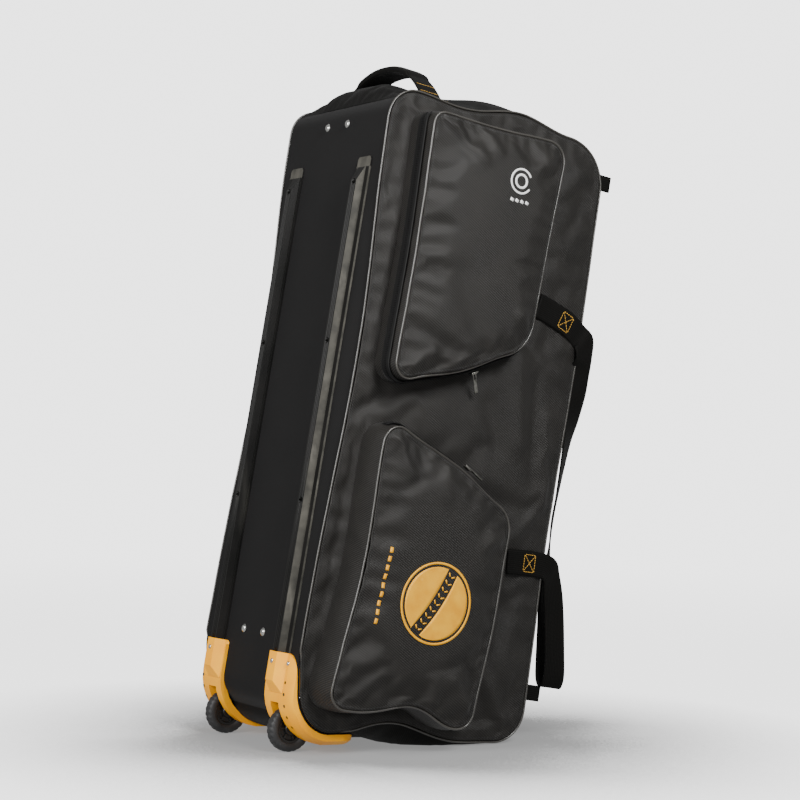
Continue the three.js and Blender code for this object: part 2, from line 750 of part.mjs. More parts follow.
function tyre(centre) {
  const half = wheelWidth / 2
  const bore = hubRadius + clearance
  const profile = [
    { radius: bore, y: -half + tyreShoulder },
    { radius: wheelRadius * 0.72, y: -half },
    { radius: wheelRadius * 0.9, y: -half * 0.94 },
    { radius: wheelRadius, y: -half * 0.6, tread: true },
    { radius: wheelRadius, y: half * 0.6, tread: true },
    { radius: wheelRadius * 0.9, y: half * 0.94 },
    { radius: wheelRadius * 0.72, y: half },
    { radius: bore, y: half - tyreShoulder },
  ]
  const rings = []
  for (let k = 0; k < treadLugs * 2; k++) {
    const angle = -Math.PI / 2 + lean + Math.PI * k / treadLugs
    rings.push(profile.map(row => {
      const radius = row.radius - (row.tread && k % 2 === 1 ? treadDepth : 0)
      return new THREE.Vector3(radius * Math.cos(angle), row.y, radius * Math.sin(angle)).add(centre)
    }))
  }
  return loft(rings, true)
}

function hub(centre) {
  const half = hubWidth / 2
  const bore = axleRadius + axleFit
  const rim = hubRadius - hubRimWidth
  const side = [
    { radius: bore, y: half },
    { radius: hubBossRadius, y: half },
    { radius: hubBossRadius + 2, y: half - hubDishDepth },
    { radius: rim, y: half - hubDishDepth },
    { radius: rim + 1, y: half - 1 },
    { radius: hubRadius, y: half - 1 },
  ]
  const nearSide = side.map(row => [row.radius, -row.y])
  const farSide = side.map(row => [row.radius, row.y]).reverse()
  return latheAcross([...nearSide, ...farSide, [bore, -half]], 12, centre)
}

// Domed rivets and screw heads that sit on a face towards the back
function domeHead(x, y, z, radius, height) {
  const profile = [
    { across: 0, up: 0 },
    { across: 1, up: 0 },
    { across: 0.9, up: 0.5 },
    { across: 0.55, up: 0.9 },
    { across: 0, up: 1 },
  ]
  const points = profile.map(row => new THREE.Vector2(row.across * radius, row.up * height))
  const dome = new THREE.LatheGeometry(points, 8)
  dome.rotateZ(Math.PI / 2)
  dome.translate(x, y, z)
  return geometryOf(solidOf(dome))
}

// Piping: a round cord along every station of an outline
function pipingLoop(stations, y, radius) {
  const rings = stations.map(({ point, normal }) => Array.from({ length: pipingSides }, (_, k) => {
    const angle = 2 * Math.PI * k / pipingSides
    const p = point.clone().addScaledVector(normal, radius * Math.cos(angle))
    return new THREE.Vector3(p.x, y + radius * Math.sin(angle), p.y)
  }))
  return loft(rings, true)
}

// Flat webbing along rows of { point, across }
function webbingBand(rows, width, thickness, loop) {
  const count = rows.length
  return loft(rows.map((row, i) => {
    const before = rows[loop ? (i + count - 1) % count : Math.max(0, i - 1)].point
    const after = rows[loop ? (i + 1) % count : Math.min(count - 1, i + 1)].point
    const tangent = after.clone().sub(before).normalize()
    const across = row.across.clone().addScaledVector(tangent, -row.across.dot(tangent)).normalize()
    const normal = tangent.clone().cross(across)
    return [[-1, -1], [1, -1], [1, 1], [-1, 1]].map(([a, n]) => row.point.clone()
      .addScaledVector(across, a * width / 2).addScaledVector(normal, n * thickness / 2))
  }), loop)
}

// Pockets: face, gusset and piping share one outline
const pocketSteps = { cornerSteps: 4, longSteps: 4, shortSteps: 4 }

function pocket(corners, sides, setback, base, width, length, depth) {
  const stations = outlineStations(corners, sides, setback, base, width, length, pocketSteps)
  const plane = -(sideFace + sideCrown + depth)
  const set = pocketPipingRadius + clearance
  const middle = new THREE.Vector2(setback + width / 2, base + length / 2)
  const rise = p => {
    const u = Math.min(1, Math.abs(p.x - middle.x) / (width / 2))
    const v = Math.min(1, Math.abs(p.y - middle.y) / (length / 2))
    return pocketCrown * (1 - u ** 2.4) * (1 - v ** 4)
  }
  const rows = patchPoints(stations, pocketSteps, set)
  const faceAt = inner => rows.map(row => row.map(p => {
    const y = plane - (pocketWall - pocketPipingRadius) - rise(p) + inner
    return new THREE.Vector3(p.x, y, p.y)
  }))
  const face = wallBetween(faceAt(0), faceAt(pocketWall), false)
  const gussetAt = inner => stations.map(({ point, normal }) => [0, 0.5, 1].map(share => {
    const p = point.clone().addScaledVector(normal, pocketFlare * share - inner)
    const foot = -(sideFace + sideLift(p.x, p.y) + panelGap)
    const y = THREE.MathUtils.lerp(plane + set, foot, share)
    return new THREE.Vector3(p.x, y, p.y)
  }))
  const gusset = wallBetween(gussetAt(0), gussetAt(pocketWall), true)
  return { face, gusset, piping: pipingLoop(stations, plane, pocketPipingRadius), stations, plane, set }
}

// A zip along the middle of a pocket's gusset
function gussetZip(shape, from, to) {
  const rows = runOf(shape.stations, from, to).map(({ point, normal }) => {
    const foot = -(sideFace + sideLift(point.x, point.y) + panelGap)
    const y = THREE.MathUtils.lerp(shape.plane + shape.set, foot, zipPlace)
    const out = pocketFlare * zipRise + zipThickness / 2 + panelGap
    const p = point.clone().addScaledVector(normal, out)
    const outwards = new THREE.Vector3(normal.x, 0, normal.y)
    return { point: new THREE.Vector3(p.x, y, p.y), across: new THREE.Vector3(0, 1, 0), out: outwards }
  })
  return { rows, geometry: webbingBand(rows, zipWidth, zipThickness, false) }
}

// A slider on a zip with its puller lying along a direction of its own
function slider({ point, out, along }, hang) {
  const across = along.clone().cross(out).normalize()
  const seat = zipThickness / 2 + clearance
  const body = new THREE.BoxGeometry(sliderWidth, sliderLength, sliderHeight)
  body.applyMatrix4(new THREE.Matrix4().makeBasis(across, along, out))
  body.translate(...point.clone().addScaledVector(out, seat + sliderHeight / 2).toArray())
  const lies = hang === 'along' ? along : out.clone()
  const faces = hang === 'along' ? out : along
  const puller = new THREE.BoxGeometry(pullerWidth, pullerLength, pullerThickness)
  puller.applyMatrix4(new THREE.Matrix4().makeBasis(lies.clone().cross(faces), lies, faces))
  const middle = point.clone().addScaledVector(out, seat + sliderHeight - pullerThickness)
  puller.translate(...middle.addScaledVector(lies, pullerLength / 2).toArray())
  return geometryOf(solidOf(body).add(solidOf(puller)))
}

// A place along a zip, given as a share of its rows
function placeAlong(rows, share) {
  const i = Math.min(rows.length - 2, Math.floor(share * (rows.length - 1)))
  const t = share * (rows.length - 1) - i
  return {
    point: rows[i].point.clone().lerp(rows[i + 1].point, t),
    out: rows[i].out.clone().lerp(rows[i + 1].out, t).normalize(),
    along: rows[i + 1].point.clone().sub(rows[i].point).normalize(),
  }
}

const up = new THREE.Vector3(0, 0, 1)

// How far out a surface stands, looking back at it from outside
function standOf(geometry, place, out) {
  const reach = 2 * bagLength
  const surface = new THREE.Mesh(geometry, new THREE.MeshStandardMaterial({ side: THREE.DoubleSide }))
  const from = place.clone().addScaledVector(out, reach)
  const hits = new THREE.Raycaster(from, out.clone().negate()).intersectObject(surface)
  return reach - hits[0].distance
}

// The zip round the lid, a little inside its edges
function lidZip(lid) {
  const out = new THREE.Vector3(1, 0, 0)
  const half = halfWidth - lidZipInset
  const low = lidZipInset + bagCorners[3].length * bagLength
  const high = bagLength - lidZipInset
  const corner = lidZipInset / 2
  const path = new THREE.Path()
  path.absarc(-half + corner, high - corner, corner, Math.PI, Math.PI / 2, true)
  path.absarc(half - corner, high - corner, corner, Math.PI / 2, 0, true)
  path.absarc(half - corner, low + corner, corner, 0, -Math.PI / 2, true)
  path.absarc(-half + corner, low + corner, corner, -Math.PI / 2, -Math.PI, true)
  path.closePath()
  const places = path.getSpacedPoints(lidZipSteps).slice(0, lidZipSteps)
  return places.map((place, i) => {
    const before = places[(i + lidZipSteps - 1) % lidZipSteps]
    const ahead = places[(i + 1) % lidZipSteps].clone().sub(before).normalize()
    const side = new THREE.Vector2(ahead.y, -ahead.x).multiplyScalar(zipWidth / 2)
    const stands = [-1, 0, 1].map(k => {
      return standOf(lid, new THREE.Vector3(0, place.x + k * side.x, place.y + k * side.y), out)
    })
    const x = Math.max(...stands) + bandGap + zipThickness / 2
    const point = new THREE.Vector3(x, place.x, place.y)
    return { point, across: new THREE.Vector3(0, side.x, side.y), out }
  })
}

// The top handle arches across the bag from seam to seam
function topHandle(panel) {
  const reach = halfWidth - handleFootInset
  const stands = [-1, 0, 1].map(k => {
    return standOf(panel, new THREE.Vector3(handleSetback + k * handleWidth / 2, reach, 0), up)
  })
  const footTilt = Math.hypot(1, handleRise * handleArch / reach)
  const foot = Math.max(...stands) + webbingThickness / footTilt + panelGap
  const rings = []
  for (let k = 0; k <= 16; k++) {
    const share = -1 + k / 8
    const y = share * reach
    const z = foot + handleRise * (1 - Math.abs(share) ** handleArch)
    const slope = -handleRise * handleArch * Math.abs(share) ** (handleArch - 1) * Math.sign(share) / reach
    const rise = new THREE.Vector3(0, -slope, 1).normalize()
    const thickness = THREE.MathUtils.lerp(handleThickness, webbingThickness * 2, Math.abs(share) ** 5)
    rings.push(Array.from({ length: 8 }, (_, i) => {
      const angle = Math.PI * (2 * i + 1) / 8
      const across = handleWidth / 2 * Math.cos(angle) / Math.cos(Math.PI / 8)
      const lift = thickness / 2 * Math.sin(angle) / Math.cos(Math.PI / 8)
      return new THREE.Vector3(handleSetback + across, y, z).addScaledVector(rise, lift)
    }))
  }
  return loft(rings, false)
}

// The carry handle: two ends sewn flat on the side panel and a hanging loop between them
function carryStrap(hand) {
  const onPanel = row => {
    const x = row.depth * bagDepth
    const z = row.length * bagLength
    const y = hand * (sideFace + sideLift(x, z) + bandGap + webbingThickness / 2)
    return { point: new THREE.Vector3(x, y, z), across: acrossOf(row) }
  }
  const hanging = row => ({
    point: new THREE.Vector3(row.depth * bagDepth, hand * row.out * halfWidth, row.length * bagLength),
    across: acrossOf(row),
  })
  const acrossOf = row => new THREE.Vector3(row.across[0], -hand * row.across[1], row.across[2])
  return [...carryUpperEnd.map(onPanel), ...carryHang.map(hanging), ...carryLowerEnd.map(onPanel)]
}

// A folded webbing tab that stands out from the lid
function zipTab(lid, place, length) {
  const out = new THREE.Vector3(1, 0, 0)
  const y = -(halfWidth - tabInset)
  const heights = [-1, 1].map(k => place * bagLength + k * tabWidth / 2)
  const stand = Math.max(...heights.map(z => standOf(lid, new THREE.Vector3(0, y, z), out))) + panelGap
  const tab = new THREE.BoxGeometry(length, tabThickness * 2, tabWidth)
  tab.translate(stand + length / 2, y, place * bagLength)
  return tab
}

// Sewn panels
for (const [hand, side] of [[-1, 'near'], [1, 'far']]) {
  addPiece(`side_panel_${side}`, sidePanel(hand), sideCloth)
  addPiece(`piping_${side}`, pipingLoop(bagOutline, hand * halfWidth, pipingRadius), pipingCord)
}
const housingRoom = housingForm(-1, clearance, skidThickness).add(housingForm(1, clearance, skidThickness))
const boardPanel = stripPanel(seams.lowerBack, seams.upperBack, boardShares, boardReach)
addPiece('back_panel', geometryOf(solidOf(boardPanel).subtract(housingRoom)), boardCloth)
const topPanel = stripPanel(seams.upperBack, seams.upperFront, evenShares(6), topReach)
addPiece('top_end_panel', topPanel, endCloth)
const lidPanel = stripPanel(seams.upperFront, seams.lowerFront, evenShares(6), lidReach)
addPiece('lid_panel', lidPanel, sideCloth)
const bottomEnd = bagOutline.length + seams.lowerBack
const bottomPanel = stripPanel(seams.lowerFront, bottomEnd, evenShares(8), bottomReach)
addPiece('bottom_end_panel', geometryOf(solidOf(bottomPanel).subtract(housingRoom)), endCloth)

// Rails, housings and wheels
for (const [hand, side] of [[-1, 'near'], [1, 'far']]) {
  const centre = new THREE.Vector3(wheelSetback, hand * wheelTrack, wheelHeight)
  addPiece(`rail_${side}`, rail(hand), railPlastic)
  addPiece(`wheel_housing_${side}`, wheelHousing(hand), housingPlastic)
  addPiece(`tyre_${side}`, tyre(centre), tyreRubber)
  addPiece(`hub_${side}`, hub(centre), hubPlastic)
  const ends = axleEnds(hand).map(y => centre.clone().setY(y))
  addPiece(`axle_${side}`, barGeometry(ends[0], ends[1], axleRadius, 12), brightSteel)
  const flangeFace = skidCentreSetback - skidRadius - clearance
  const capFace = railSeat - railRidge - housingWall - clearance
  const screwHeight = housingTop - screwHeadInset
  const screws = [
    { on: 'flange', face: flangeFace, across: flangeScrewAcross },
    { on: 'cap', face: capFace, across: wheelTrack },
  ]
  for (const { on, face, across } of screws) {
    const head = domeHead(face, hand * across, screwHeight, screwHeadRadius, screwHeadHeight)
    addPiece(`housing_screw_${on}_${side}`, head, brightSteel)
  }
}
const rivetRows = [
  { row: 'lower', height: rivetBaseInset },
  { row: 'upper', height: bagLength - rivetTopInset },
]
for (const { row, height } of rivetRows) {
  for (const [hand, side] of [[-1, 'near'], [1, 'far']]) {
    const head = domeHead(boardFace - clearance, hand * rivetSpacing / 2, height, rivetRadius, rivetHeight)
    addPiece(`rivet_${row}_${side}`, head, brightSteel)
  }
}

// Pockets with their zips
const upperPocket = pocket(upperPocketCorners, upperPocketSides, upperPocketSetback, upperPocketBase,
  upperPocketWidth, upperPocketLength, upperPocketDepth)
const lowerPocket = pocket(lowerPocketCorners, lowerPocketSides, lowerPocketSetback, lowerPocketBase,
  lowerPocketWidth, lowerPocketLength, lowerPocketDepth)
const pockets = [
  { name: 'upper', shape: upperPocket, from: -6, to: 10, share: 0.22, hang: 'out' },
  { name: 'lower', shape: lowerPocket, from: 10, to: 26, share: 0.275, hang: 'along' },
]
for (const { name, shape, from, to, share, hang } of pockets) {
  addPiece(`${name}_pocket_face`, shape.face, sideCloth)
  addPiece(`${name}_pocket_gusset`, shape.gusset, sideCloth)
  addPiece(`${name}_pocket_piping`, shape.piping, pipingCord)
  const zip = gussetZip(shape, from, to)
  addPiece(`${name}_pocket_zip`, zip.geometry, zipTape)
  addPiece(`${name}_pocket_slider`, slider(placeAlong(zip.rows, share), hang), sliderMetal)
}

// The lid's zip, its two sliders and the tabs at its ends
const lidRows = lidZip(lidPanel)
addPiece('lid_zip', webbingBand(lidRows, zipWidth, zipThickness, true), zipTape)
for (const [side, share] of [['upper', lidSliderShares.upper], ['lower', lidSliderShares.lower]]) {
  addPiece(`lid_slider_${side}`, slider(placeAlong(lidRows, share), 'along'), sliderMetal)
  addPiece(`zip_tab_${side}`, zipTab(lidPanel, tabHeights[side], tabLengths[side]), webbing)
}

// Handles and webbing
addPiece('top_handle', topHandle(topPanel), webbing)
for (const [hand, side] of [[-1, 'near'], [1, 'far']]) {
  const strap = webbingBand(carryStrap(hand), webbingWidth, webbingThickness, false)
  addPiece(`carry_strap_${side}`, strap, webbing)
}

// The object stands on its wheels and its bottom end, with its box centred on the origin
object.updateMatrixWorld(true)
const box = new THREE.Box3().setFromObject(object, true)
object.position.set(-(box.min.x + box.max.x) / 2, -(box.min.y + box.max.y) / 2, -box.min.z)
object.updateMatrixWorld(true)

const group = object
export default group
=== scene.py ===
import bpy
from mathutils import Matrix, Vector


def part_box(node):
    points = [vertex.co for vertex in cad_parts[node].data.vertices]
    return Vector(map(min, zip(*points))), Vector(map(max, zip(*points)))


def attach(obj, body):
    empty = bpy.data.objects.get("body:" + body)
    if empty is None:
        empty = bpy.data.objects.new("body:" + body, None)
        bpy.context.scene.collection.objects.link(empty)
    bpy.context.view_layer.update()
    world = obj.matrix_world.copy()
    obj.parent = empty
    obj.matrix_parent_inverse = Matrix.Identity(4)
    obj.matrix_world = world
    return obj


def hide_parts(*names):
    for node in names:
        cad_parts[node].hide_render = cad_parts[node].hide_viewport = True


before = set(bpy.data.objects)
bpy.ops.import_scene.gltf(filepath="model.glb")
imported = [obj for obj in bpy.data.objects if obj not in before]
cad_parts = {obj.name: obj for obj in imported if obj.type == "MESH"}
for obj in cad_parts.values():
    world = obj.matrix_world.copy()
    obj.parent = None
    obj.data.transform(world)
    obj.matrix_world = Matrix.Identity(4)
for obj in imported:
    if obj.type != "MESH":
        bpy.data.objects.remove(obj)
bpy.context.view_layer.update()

from math import acos, atan2, cos, exp, hypot, pi, radians, sin, tan

import bmesh
import bpy
from mathutils import Matrix, Vector, noise
from mathutils.bvhtree import BVHTree

# Bag shape in millimetres: x from the back panel to the lid, y across, z up the bag
bagShape = {
    "length": 950, "depth": 394, "halfWidth": 150, "lean": 9,
    "wheelTrack": 100, "wheelSetback": 26, "wheelHeight": 2.5, "wheelRadius": 33,
    # corners: depth share, length share, radius share. sides: bow and skew shares
    "corners": [(-0.01, 0, 0.157), (-0.01, 1, 0.114), (0.984, 1.001, 0.18), (1.006, 0.028, 0.132)],
    "sides": [(-0.03, 0.02), (0.015, -0.057), (-0.006, 0.022), (-0.038, 0.066)],
    "steps": (16, 80, 36), "heelInset": 8, "heelHeight": 110,
    "boardFace": -3.5, "boardFlatHalf": 127, "boardBlend": 40,
}
hands = ((-1, "near"), (1, "far"))
turn = Matrix.Rotation(radians(bagShape["lean"]), 4, "Y")
axleLow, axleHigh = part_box("axle_near")
axleAt = Vector((bagShape["wheelSetback"], -bagShape["wheelTrack"], bagShape["wheelHeight"])) / 1000
toRow = Matrix.Translation((axleLow + axleHigh) / 2 - turn @ axleAt) @ turn @ Matrix.Scale(0.001, 4)
toBag = toRow.inverted()
bagMiddle = Vector((bagShape["depth"] / 2, 0, bagShape["length"] / 2))

# Camera at the photograph's place, in bag millimetres
view = {
    "place": (-1521.3, -2845.7, 205.4), "right": (0.8392, -0.5198, 0.1597),
    "ahead": (0.5114, 0.8543, 0.0929), "lens": 97.06,
}
camera = bpy.data.cameras.new("camera")
camera.lens = view["lens"]
camera.sensor_width = 36
cameraObject = bpy.data.objects.new("camera", camera)
bpy.context.collection.objects.link(cameraObject)
ahead = (turn.to_3x3() @ Vector(view["ahead"])).normalized()
right = turn.to_3x3() @ Vector(view["right"])
right = (right - ahead * right.dot(ahead)).normalized()
basis = Matrix((right, right.cross(ahead), -ahead)).transposed().to_4x4()
cameraObject.matrix_world = Matrix.Translation(toRow @ Vector(view["place"])) @ basis
bpy.context.scene.camera = cameraObject
print("camera placed")


# Small helpers
def smooth(low, high, value):
    t = min(1, max(0, (value - low) / (high - low)))
    return t * t * (3 - 2 * t)


def blend(a, b, t):
    return a * (1 - t) + b * t


def linearOf(code):  # sRGB hex to linear
    parts = [int(code[i:i + 2], 16) / 255 for i in (1, 3, 5)]
    return [p / 12.92 if p <= 0.04045 else ((p + 0.055) / 1.055) ** 2.4 for p in parts] + [1]


def addNode(tree, kind, links, **settings):
    node = tree.nodes.new(kind)
    for key, value in settings.items():
        setattr(node, key, value)
    for key, value in links.items():
        if isinstance(value, bpy.types.NodeSocket):
            tree.links.new(value, node.inputs[key])
        else:
            node.inputs[key].default_value = value
    return node


def startMaterial(name, values):
    material = bpy.data.materials.new(name)
    material.use_nodes = True
    shader = material.node_tree.nodes["Principled BSDF"]
    shader.inputs["IOR"].default_value = values.get("ior", 1.5)
    shader.inputs["Metallic"].default_value = values.get("metallic", 0)
    shader.inputs["Sheen Weight"].default_value = values.get("sheen", 0)
    shader.inputs["Sheen Roughness"].default_value = 0.4
    shader.inputs["Specular IOR Level"].default_value = values.get("specular", 0.5)
    return material, material.node_tree, shader


def ramp(tree, source, low, high, lowColour, highColour):
    shade = addNode(tree, "ShaderNodeMapRange", {"Value": source, "From Min": low, "From Max": high})
    mixed = addNode(tree, "ShaderNodeMix", {0: shade.outputs[0], 6: lowColour, 7: highColour}, data_type="RGBA")
    return mixed.outputs[2]


def finishShader(tree, shader, colour, gloss, relief, values, height):
    # Colour, uneven gloss and fine relief, which both kinds of material end in
    low, high = values["rough"]
    rough = addNode(tree, "ShaderNodeMapRange", {"Value": gloss, "To Min": low, "To Max": high})
    bump = addNode(tree, "ShaderNodeBump", {"Height": relief, "Strength": values["bump"], "Distance": height})
    tree.links.new(colour, shader.inputs["Base Color"])
    tree.links.new(rough.outputs[0], shader.inputs["Roughness"])
    tree.links.new(bump.outputs[0], shader.inputs["Normal"])


wavePerMetre = 0.314  # a wave texture of scale 1 repeats each 2 pi / 20 metres
clothGrit = {"size": 1.6, "share": 0.35}


# Woven cloth: ribs of yarn at an angle, crossed by finer yarn, with uneven tone from handling
def wovenMaterial(name, values):
    material, tree, shader = startMaterial(name, values)
    place = addNode(tree, "ShaderNodeUVMap", {}, uv_map="weave").outputs[0]
    turned = addNode(tree, "ShaderNodeMapping", {"Vector": place, "Rotation": (0, 0, radians(values["turn"]))})
    turned = turned.outputs[0]
    ribs = addNode(tree, "ShaderNodeTexWave", {
        "Vector": turned, "Scale": wavePerMetre / (values["rib"] / 1000), "Distortion": 0.6, "Detail": 1})
    yarns = addNode(tree, "ShaderNodeTexWave", {
        "Vector": turned, "Scale": wavePerMetre / (values["yarn"] / 1000), "Distortion": 0.4}, bands_direction="Y")
    patches = addNode(tree, "ShaderNodeTexNoise", {"Vector": place, "Scale": 1000 / values["patch"], "Detail": 3})
    grit = addNode(tree, "ShaderNodeTexNoise", {"Vector": place, "Scale": 1000 / clothGrit["size"], "Detail": 2})
    patches = patches.outputs["Fac"]
    woven = addNode(tree, "ShaderNodeMath", {0: ribs.outputs["Fac"], 1: yarns.outputs["Fac"]}, operation="MULTIPLY")
    tone = addNode(tree, "ShaderNodeMath", {
        0: patches, 1: values["patchShare"], 2: woven.outputs[0]}, operation="MULTIPLY_ADD")
    tone = addNode(tree, "ShaderNodeMath", {
        0: grit.outputs["Fac"], 1: clothGrit["share"], 2: tone.outputs[0]}, operation="MULTIPLY_ADD")
    colour = ramp(tree, tone.outputs[0], 0.3, 1.3, linearOf(values["dark"]), linearOf(values["light"]))
    finishShader(tree, shader, colour, patches, woven.outputs[0], values, values["rib"] / 8000)
    return material


grainHeight = 0.0002  # metres


# Moulded plastic or rubber: fine grain, uneven gloss, and pale scuffs along one way
def mouldedMaterial(name, values):
    material, tree, shader = startMaterial(name, values)
    place = addNode(tree, "ShaderNodeTexCoord", {}).outputs["Object"]
    drawn = addNode(tree, "ShaderNodeMapping", {"Vector": place, "Scale": values["drawn"]}).outputs[0]
    grain, cloud, scuffs = [
        addNode(tree, "ShaderNodeTexNoise", {
            "Vector": source, "Scale": 1000 / values[size], "Detail": detail}).outputs["Fac"]
        for source, size, detail in ((place, "grain", 3), (place, "cloud", 4), (drawn, "scuff", 5))]
    base = ramp(tree, cloud, 0.35, 0.7, linearOf(values["dark"]), linearOf(values["light"]))
    worn = addNode(tree, "ShaderNodeMapRange", {
        "Value": scuffs, "From Min": 0.62, "From Max": 0.78, "To Max": values["wear"]})
    colour = addNode(tree, "ShaderNodeMix", {
        0: worn.outputs[0], 6: base, 7: linearOf(values["worn"])}, data_type="RGBA")
    finishShader(tree, shader, colour.outputs[2], cloud, grain, values, grainHeight)
    return material


sideTwill = wovenMaterial("polyester_twill", {  # packed diagonal yarn with a faint satin look
    "dark": "#100f0e", "light": "#2c2a27", "turn": -62, "rib": 3, "yarn": 1.7, "patch": 55, "patchShare": 0.5,
    "rough": (0.38, 0.52), "bump": 0.9, "sheen": 0.03, "specular": 0.21})
boardTwill = wovenMaterial("polyester_plain_weave", {  # dull flat cloth glued on the board
    "dark": "#0f0f0f", "light": "#201f1f", "turn": 45, "rib": 1.8, "yarn": 1.8, "patch": 90, "patchShare": 0.4,
    "rough": (0.75, 0.92), "bump": 0.35, "sheen": 0.04, "specular": 0.1})
endTwillShaded = wovenMaterial("polyester_twill_end_painted_shade", {  # the same twill on the ends, painted darker and duller as shade
    "dark": "#080807", "light": "#151413", "turn": -62, "rib": 3, "yarn": 1.7, "patch": 60, "patchShare": 0.5,
    "rough": (0.6, 0.8), "bump": 0.6, "sheen": 0.02, "specular": 0.08})
webbingBlack = wovenMaterial("nylon_webbing", {  # thick ribbed yarn along the strap
    "dark": "#070706", "light": "#131210", "turn": 0, "rib": 3, "yarn": 2, "patch": 40, "patchShare": 0.4,
    "rough": (0.55, 0.75), "bump": 0.8, "sheen": 0.02, "specular": 0.08})
zipTapeBlack = wovenMaterial("polyester_zip_tape", {  # tight fine tape, nearly black
    "dark": "#090909", "light": "#161615", "turn": 0, "rib": 1.5, "yarn": 1.5, "patch": 40, "patchShare": 0.3,
    "rough": (0.5, 0.7), "bump": 0.4, "sheen": 0.03, "specular": 0.2})
pipingPale = wovenMaterial("coated_piping_cord", {  # grey coated cord with a satin face
    "dark": "#1f1d1b", "light": "#3d3a34", "turn": 35, "rib": 2.4, "yarn": 3, "patch": 30, "patchShare": 0.6,
    "rough": (0.3, 0.4), "bump": 0.2, "sheen": 0, "specular": 0.6, "ior": 1.6})
goldThread = wovenMaterial("gold_rayon_thread", {  # shiny twisted yarn
    "dark": "#a87c26", "light": "#e3b452", "turn": 60, "rib": 1, "yarn": 1, "patch": 12, "patchShare": 0.5,
    "rough": (0.35, 0.5), "bump": 0.5, "sheen": 0.1})
blackThread = wovenMaterial("black_polyester_thread", {
    "dark": "#0b0b0b", "light": "#2a2a29", "turn": 60, "rib": 1, "yarn": 1, "patch": 12, "patchShare": 0.5,
    "rough": (0.4, 0.6), "bump": 0.5, "sheen": 0.1})
railAbs = mouldedMaterial("moulded_abs_dark_grey", {  # satin dark plastic, rubbed paler along its length
    "dark": "#131312", "light": "#1c1b1a", "worn": "#3a3935", "wear": 0.5, "grain": 0.9, "cloud": 70,
    "scuff": 30, "drawn": (1, 1, 0.12), "rough": (0.38, 0.5), "bump": 0.25, "specular": 0.12})
railPaleAndLit = mouldedMaterial("moulded_abs_pale_and_painted_light", {  # paler and blotched plastic on the top tabs, and painted light on the near rail's flank
    "dark": "#34332f", "light": "#4e4c46", "worn": "#737068", "wear": 0.6, "grain": 0.9, "cloud": 24,
    "scuff": 20, "drawn": (1, 1, 0.3), "rough": (0.5, 0.65), "bump": 0.3, "specular": 0.15})
housingNylon = mouldedMaterial("moulded_nylon_ochre", {  # smooth dyed nylon with soft gloss
    "dark": "#ef9c00", "light": "#fbb000", "worn": "#ffb91e", "wear": 0.3, "grain": 0.8, "cloud": 45,
    "scuff": 18, "drawn": (1, 1, 0.3), "rough": (0.34, 0.48), "bump": 0.2, "specular": 0.2})
tyreRubber = mouldedMaterial("moulded_rubber", {  # dull dark rubber, dusty on its tread
    "dark": "#161617", "light": "#242425", "worn": "#4a4a49", "wear": 0.6, "grain": 0.7, "cloud": 14,
    "scuff": 9, "drawn": (1, 1, 1), "rough": (0.5, 0.7), "bump": 0.4})
hubNylon = mouldedMaterial("moulded_nylon_black", {
    "dark": "#0e0e0e", "light": "#191919", "worn": "#353535", "wear": 0.4, "grain": 0.8, "cloud": 12,
    "scuff": 9, "drawn": (1, 1, 1), "rough": (0.35, 0.5), "bump": 0.2})
nickelSteel = mouldedMaterial("nickel_plated_steel", {  # bright plating with faint swirl marks
    "dark": "#b9b9b6", "light": "#dcdcd8", "worn": "#f4f4f0", "wear": 0.4, "grain": 0.5, "cloud": 6, "scuff": 4,
    "drawn": (1, 1, 1), "rough": (0.16, 0.3), "bump": 0.1, "metallic": 1})
gunmetal = mouldedMaterial("antique_nickel_zinc", {  # dulled plated casting, bright where rubbed
    "dark": "#6b6a65", "light": "#a3a29b", "worn": "#d8d6cf", "wear": 0.6, "grain": 0.5, "cloud": 6, "scuff": 4,
    "drawn": (1, 1, 1), "rough": (0.25, 0.4), "bump": 0.1, "metallic": 1})
goldPrint = mouldedMaterial("gold_transfer_print", {  # thin rubbery print with a faint cloth grain
    "dark": "#cf8f10", "light": "#dfa31c", "worn": "#eebd54", "wear": 0.3, "grain": 1.2, "cloud": 25,
    "scuff": 9, "drawn": (1, 1, 1), "rough": (0.42, 0.55), "bump": 0.5, "specular": 0.3})
whitePrint = mouldedMaterial("white_transfer_print", {
    "dark": "#cfcfcc", "light": "#e8e8e6", "worn": "#ffffff", "wear": 0.3, "grain": 1.2, "cloud": 20,
    "scuff": 9, "drawn": (1, 1, 1), "rough": (0.45, 0.6), "bump": 0.5})
print("materials made")


def finishPiece(name, mesh, materials, replaces=(), body="bag"):
    # Takes a bmesh in bag millimetres and makes it a piece of the object
    data = bpy.data.meshes.new(name)
    mesh.to_mesh(data)
    mesh.free()
    data.transform(toRow)
    data.shade_smooth()
    data.set_sharp_from_angle(angle=radians(40))
    for material in materials:
        data.materials.append(material)
    piece = bpy.data.objects.new(name, data)
    bpy.context.collection.objects.link(piece)
    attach(piece, body)
    if replaces:
        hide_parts(*replaces)
    return piece


def sheetOf(columns, rows, place, away=bagMiddle, seams=()):
    # A grid whose points are put in place by column and row. place gives the point and its weave coordinates
    sheet = bmesh.new()
    bmesh.ops.create_grid(sheet, x_segments=columns, y_segments=rows, size=0.5)
    weave = sheet.loops.layers.uv.new("weave")
    spots = {}
    for vertex in sheet.verts:
        column = round((vertex.co.x + 0.5) * columns)
        row = round((vertex.co.y + 0.5) * rows)
        vertex.co, spots[vertex] = place(column, row)
    for face in sheet.faces:
        for loop in face.loops:
            loop[weave].uv = (spots[loop.vert][0] / 1000, spots[loop.vert][1] / 1000)
    if seams:
        bmesh.ops.remove_doubles(sheet, verts=sheet.verts, dist=0.001)
    bmesh.ops.recalc_face_normals(sheet, faces=sheet.faces)
    outwards = sum((face.calc_center_median() - away).dot(face.normal) * face.calc_area()
                   for face in sheet.faces)
    if outwards < 0:
        bmesh.ops.reverse_faces(sheet, faces=sheet.faces)
    return sheet


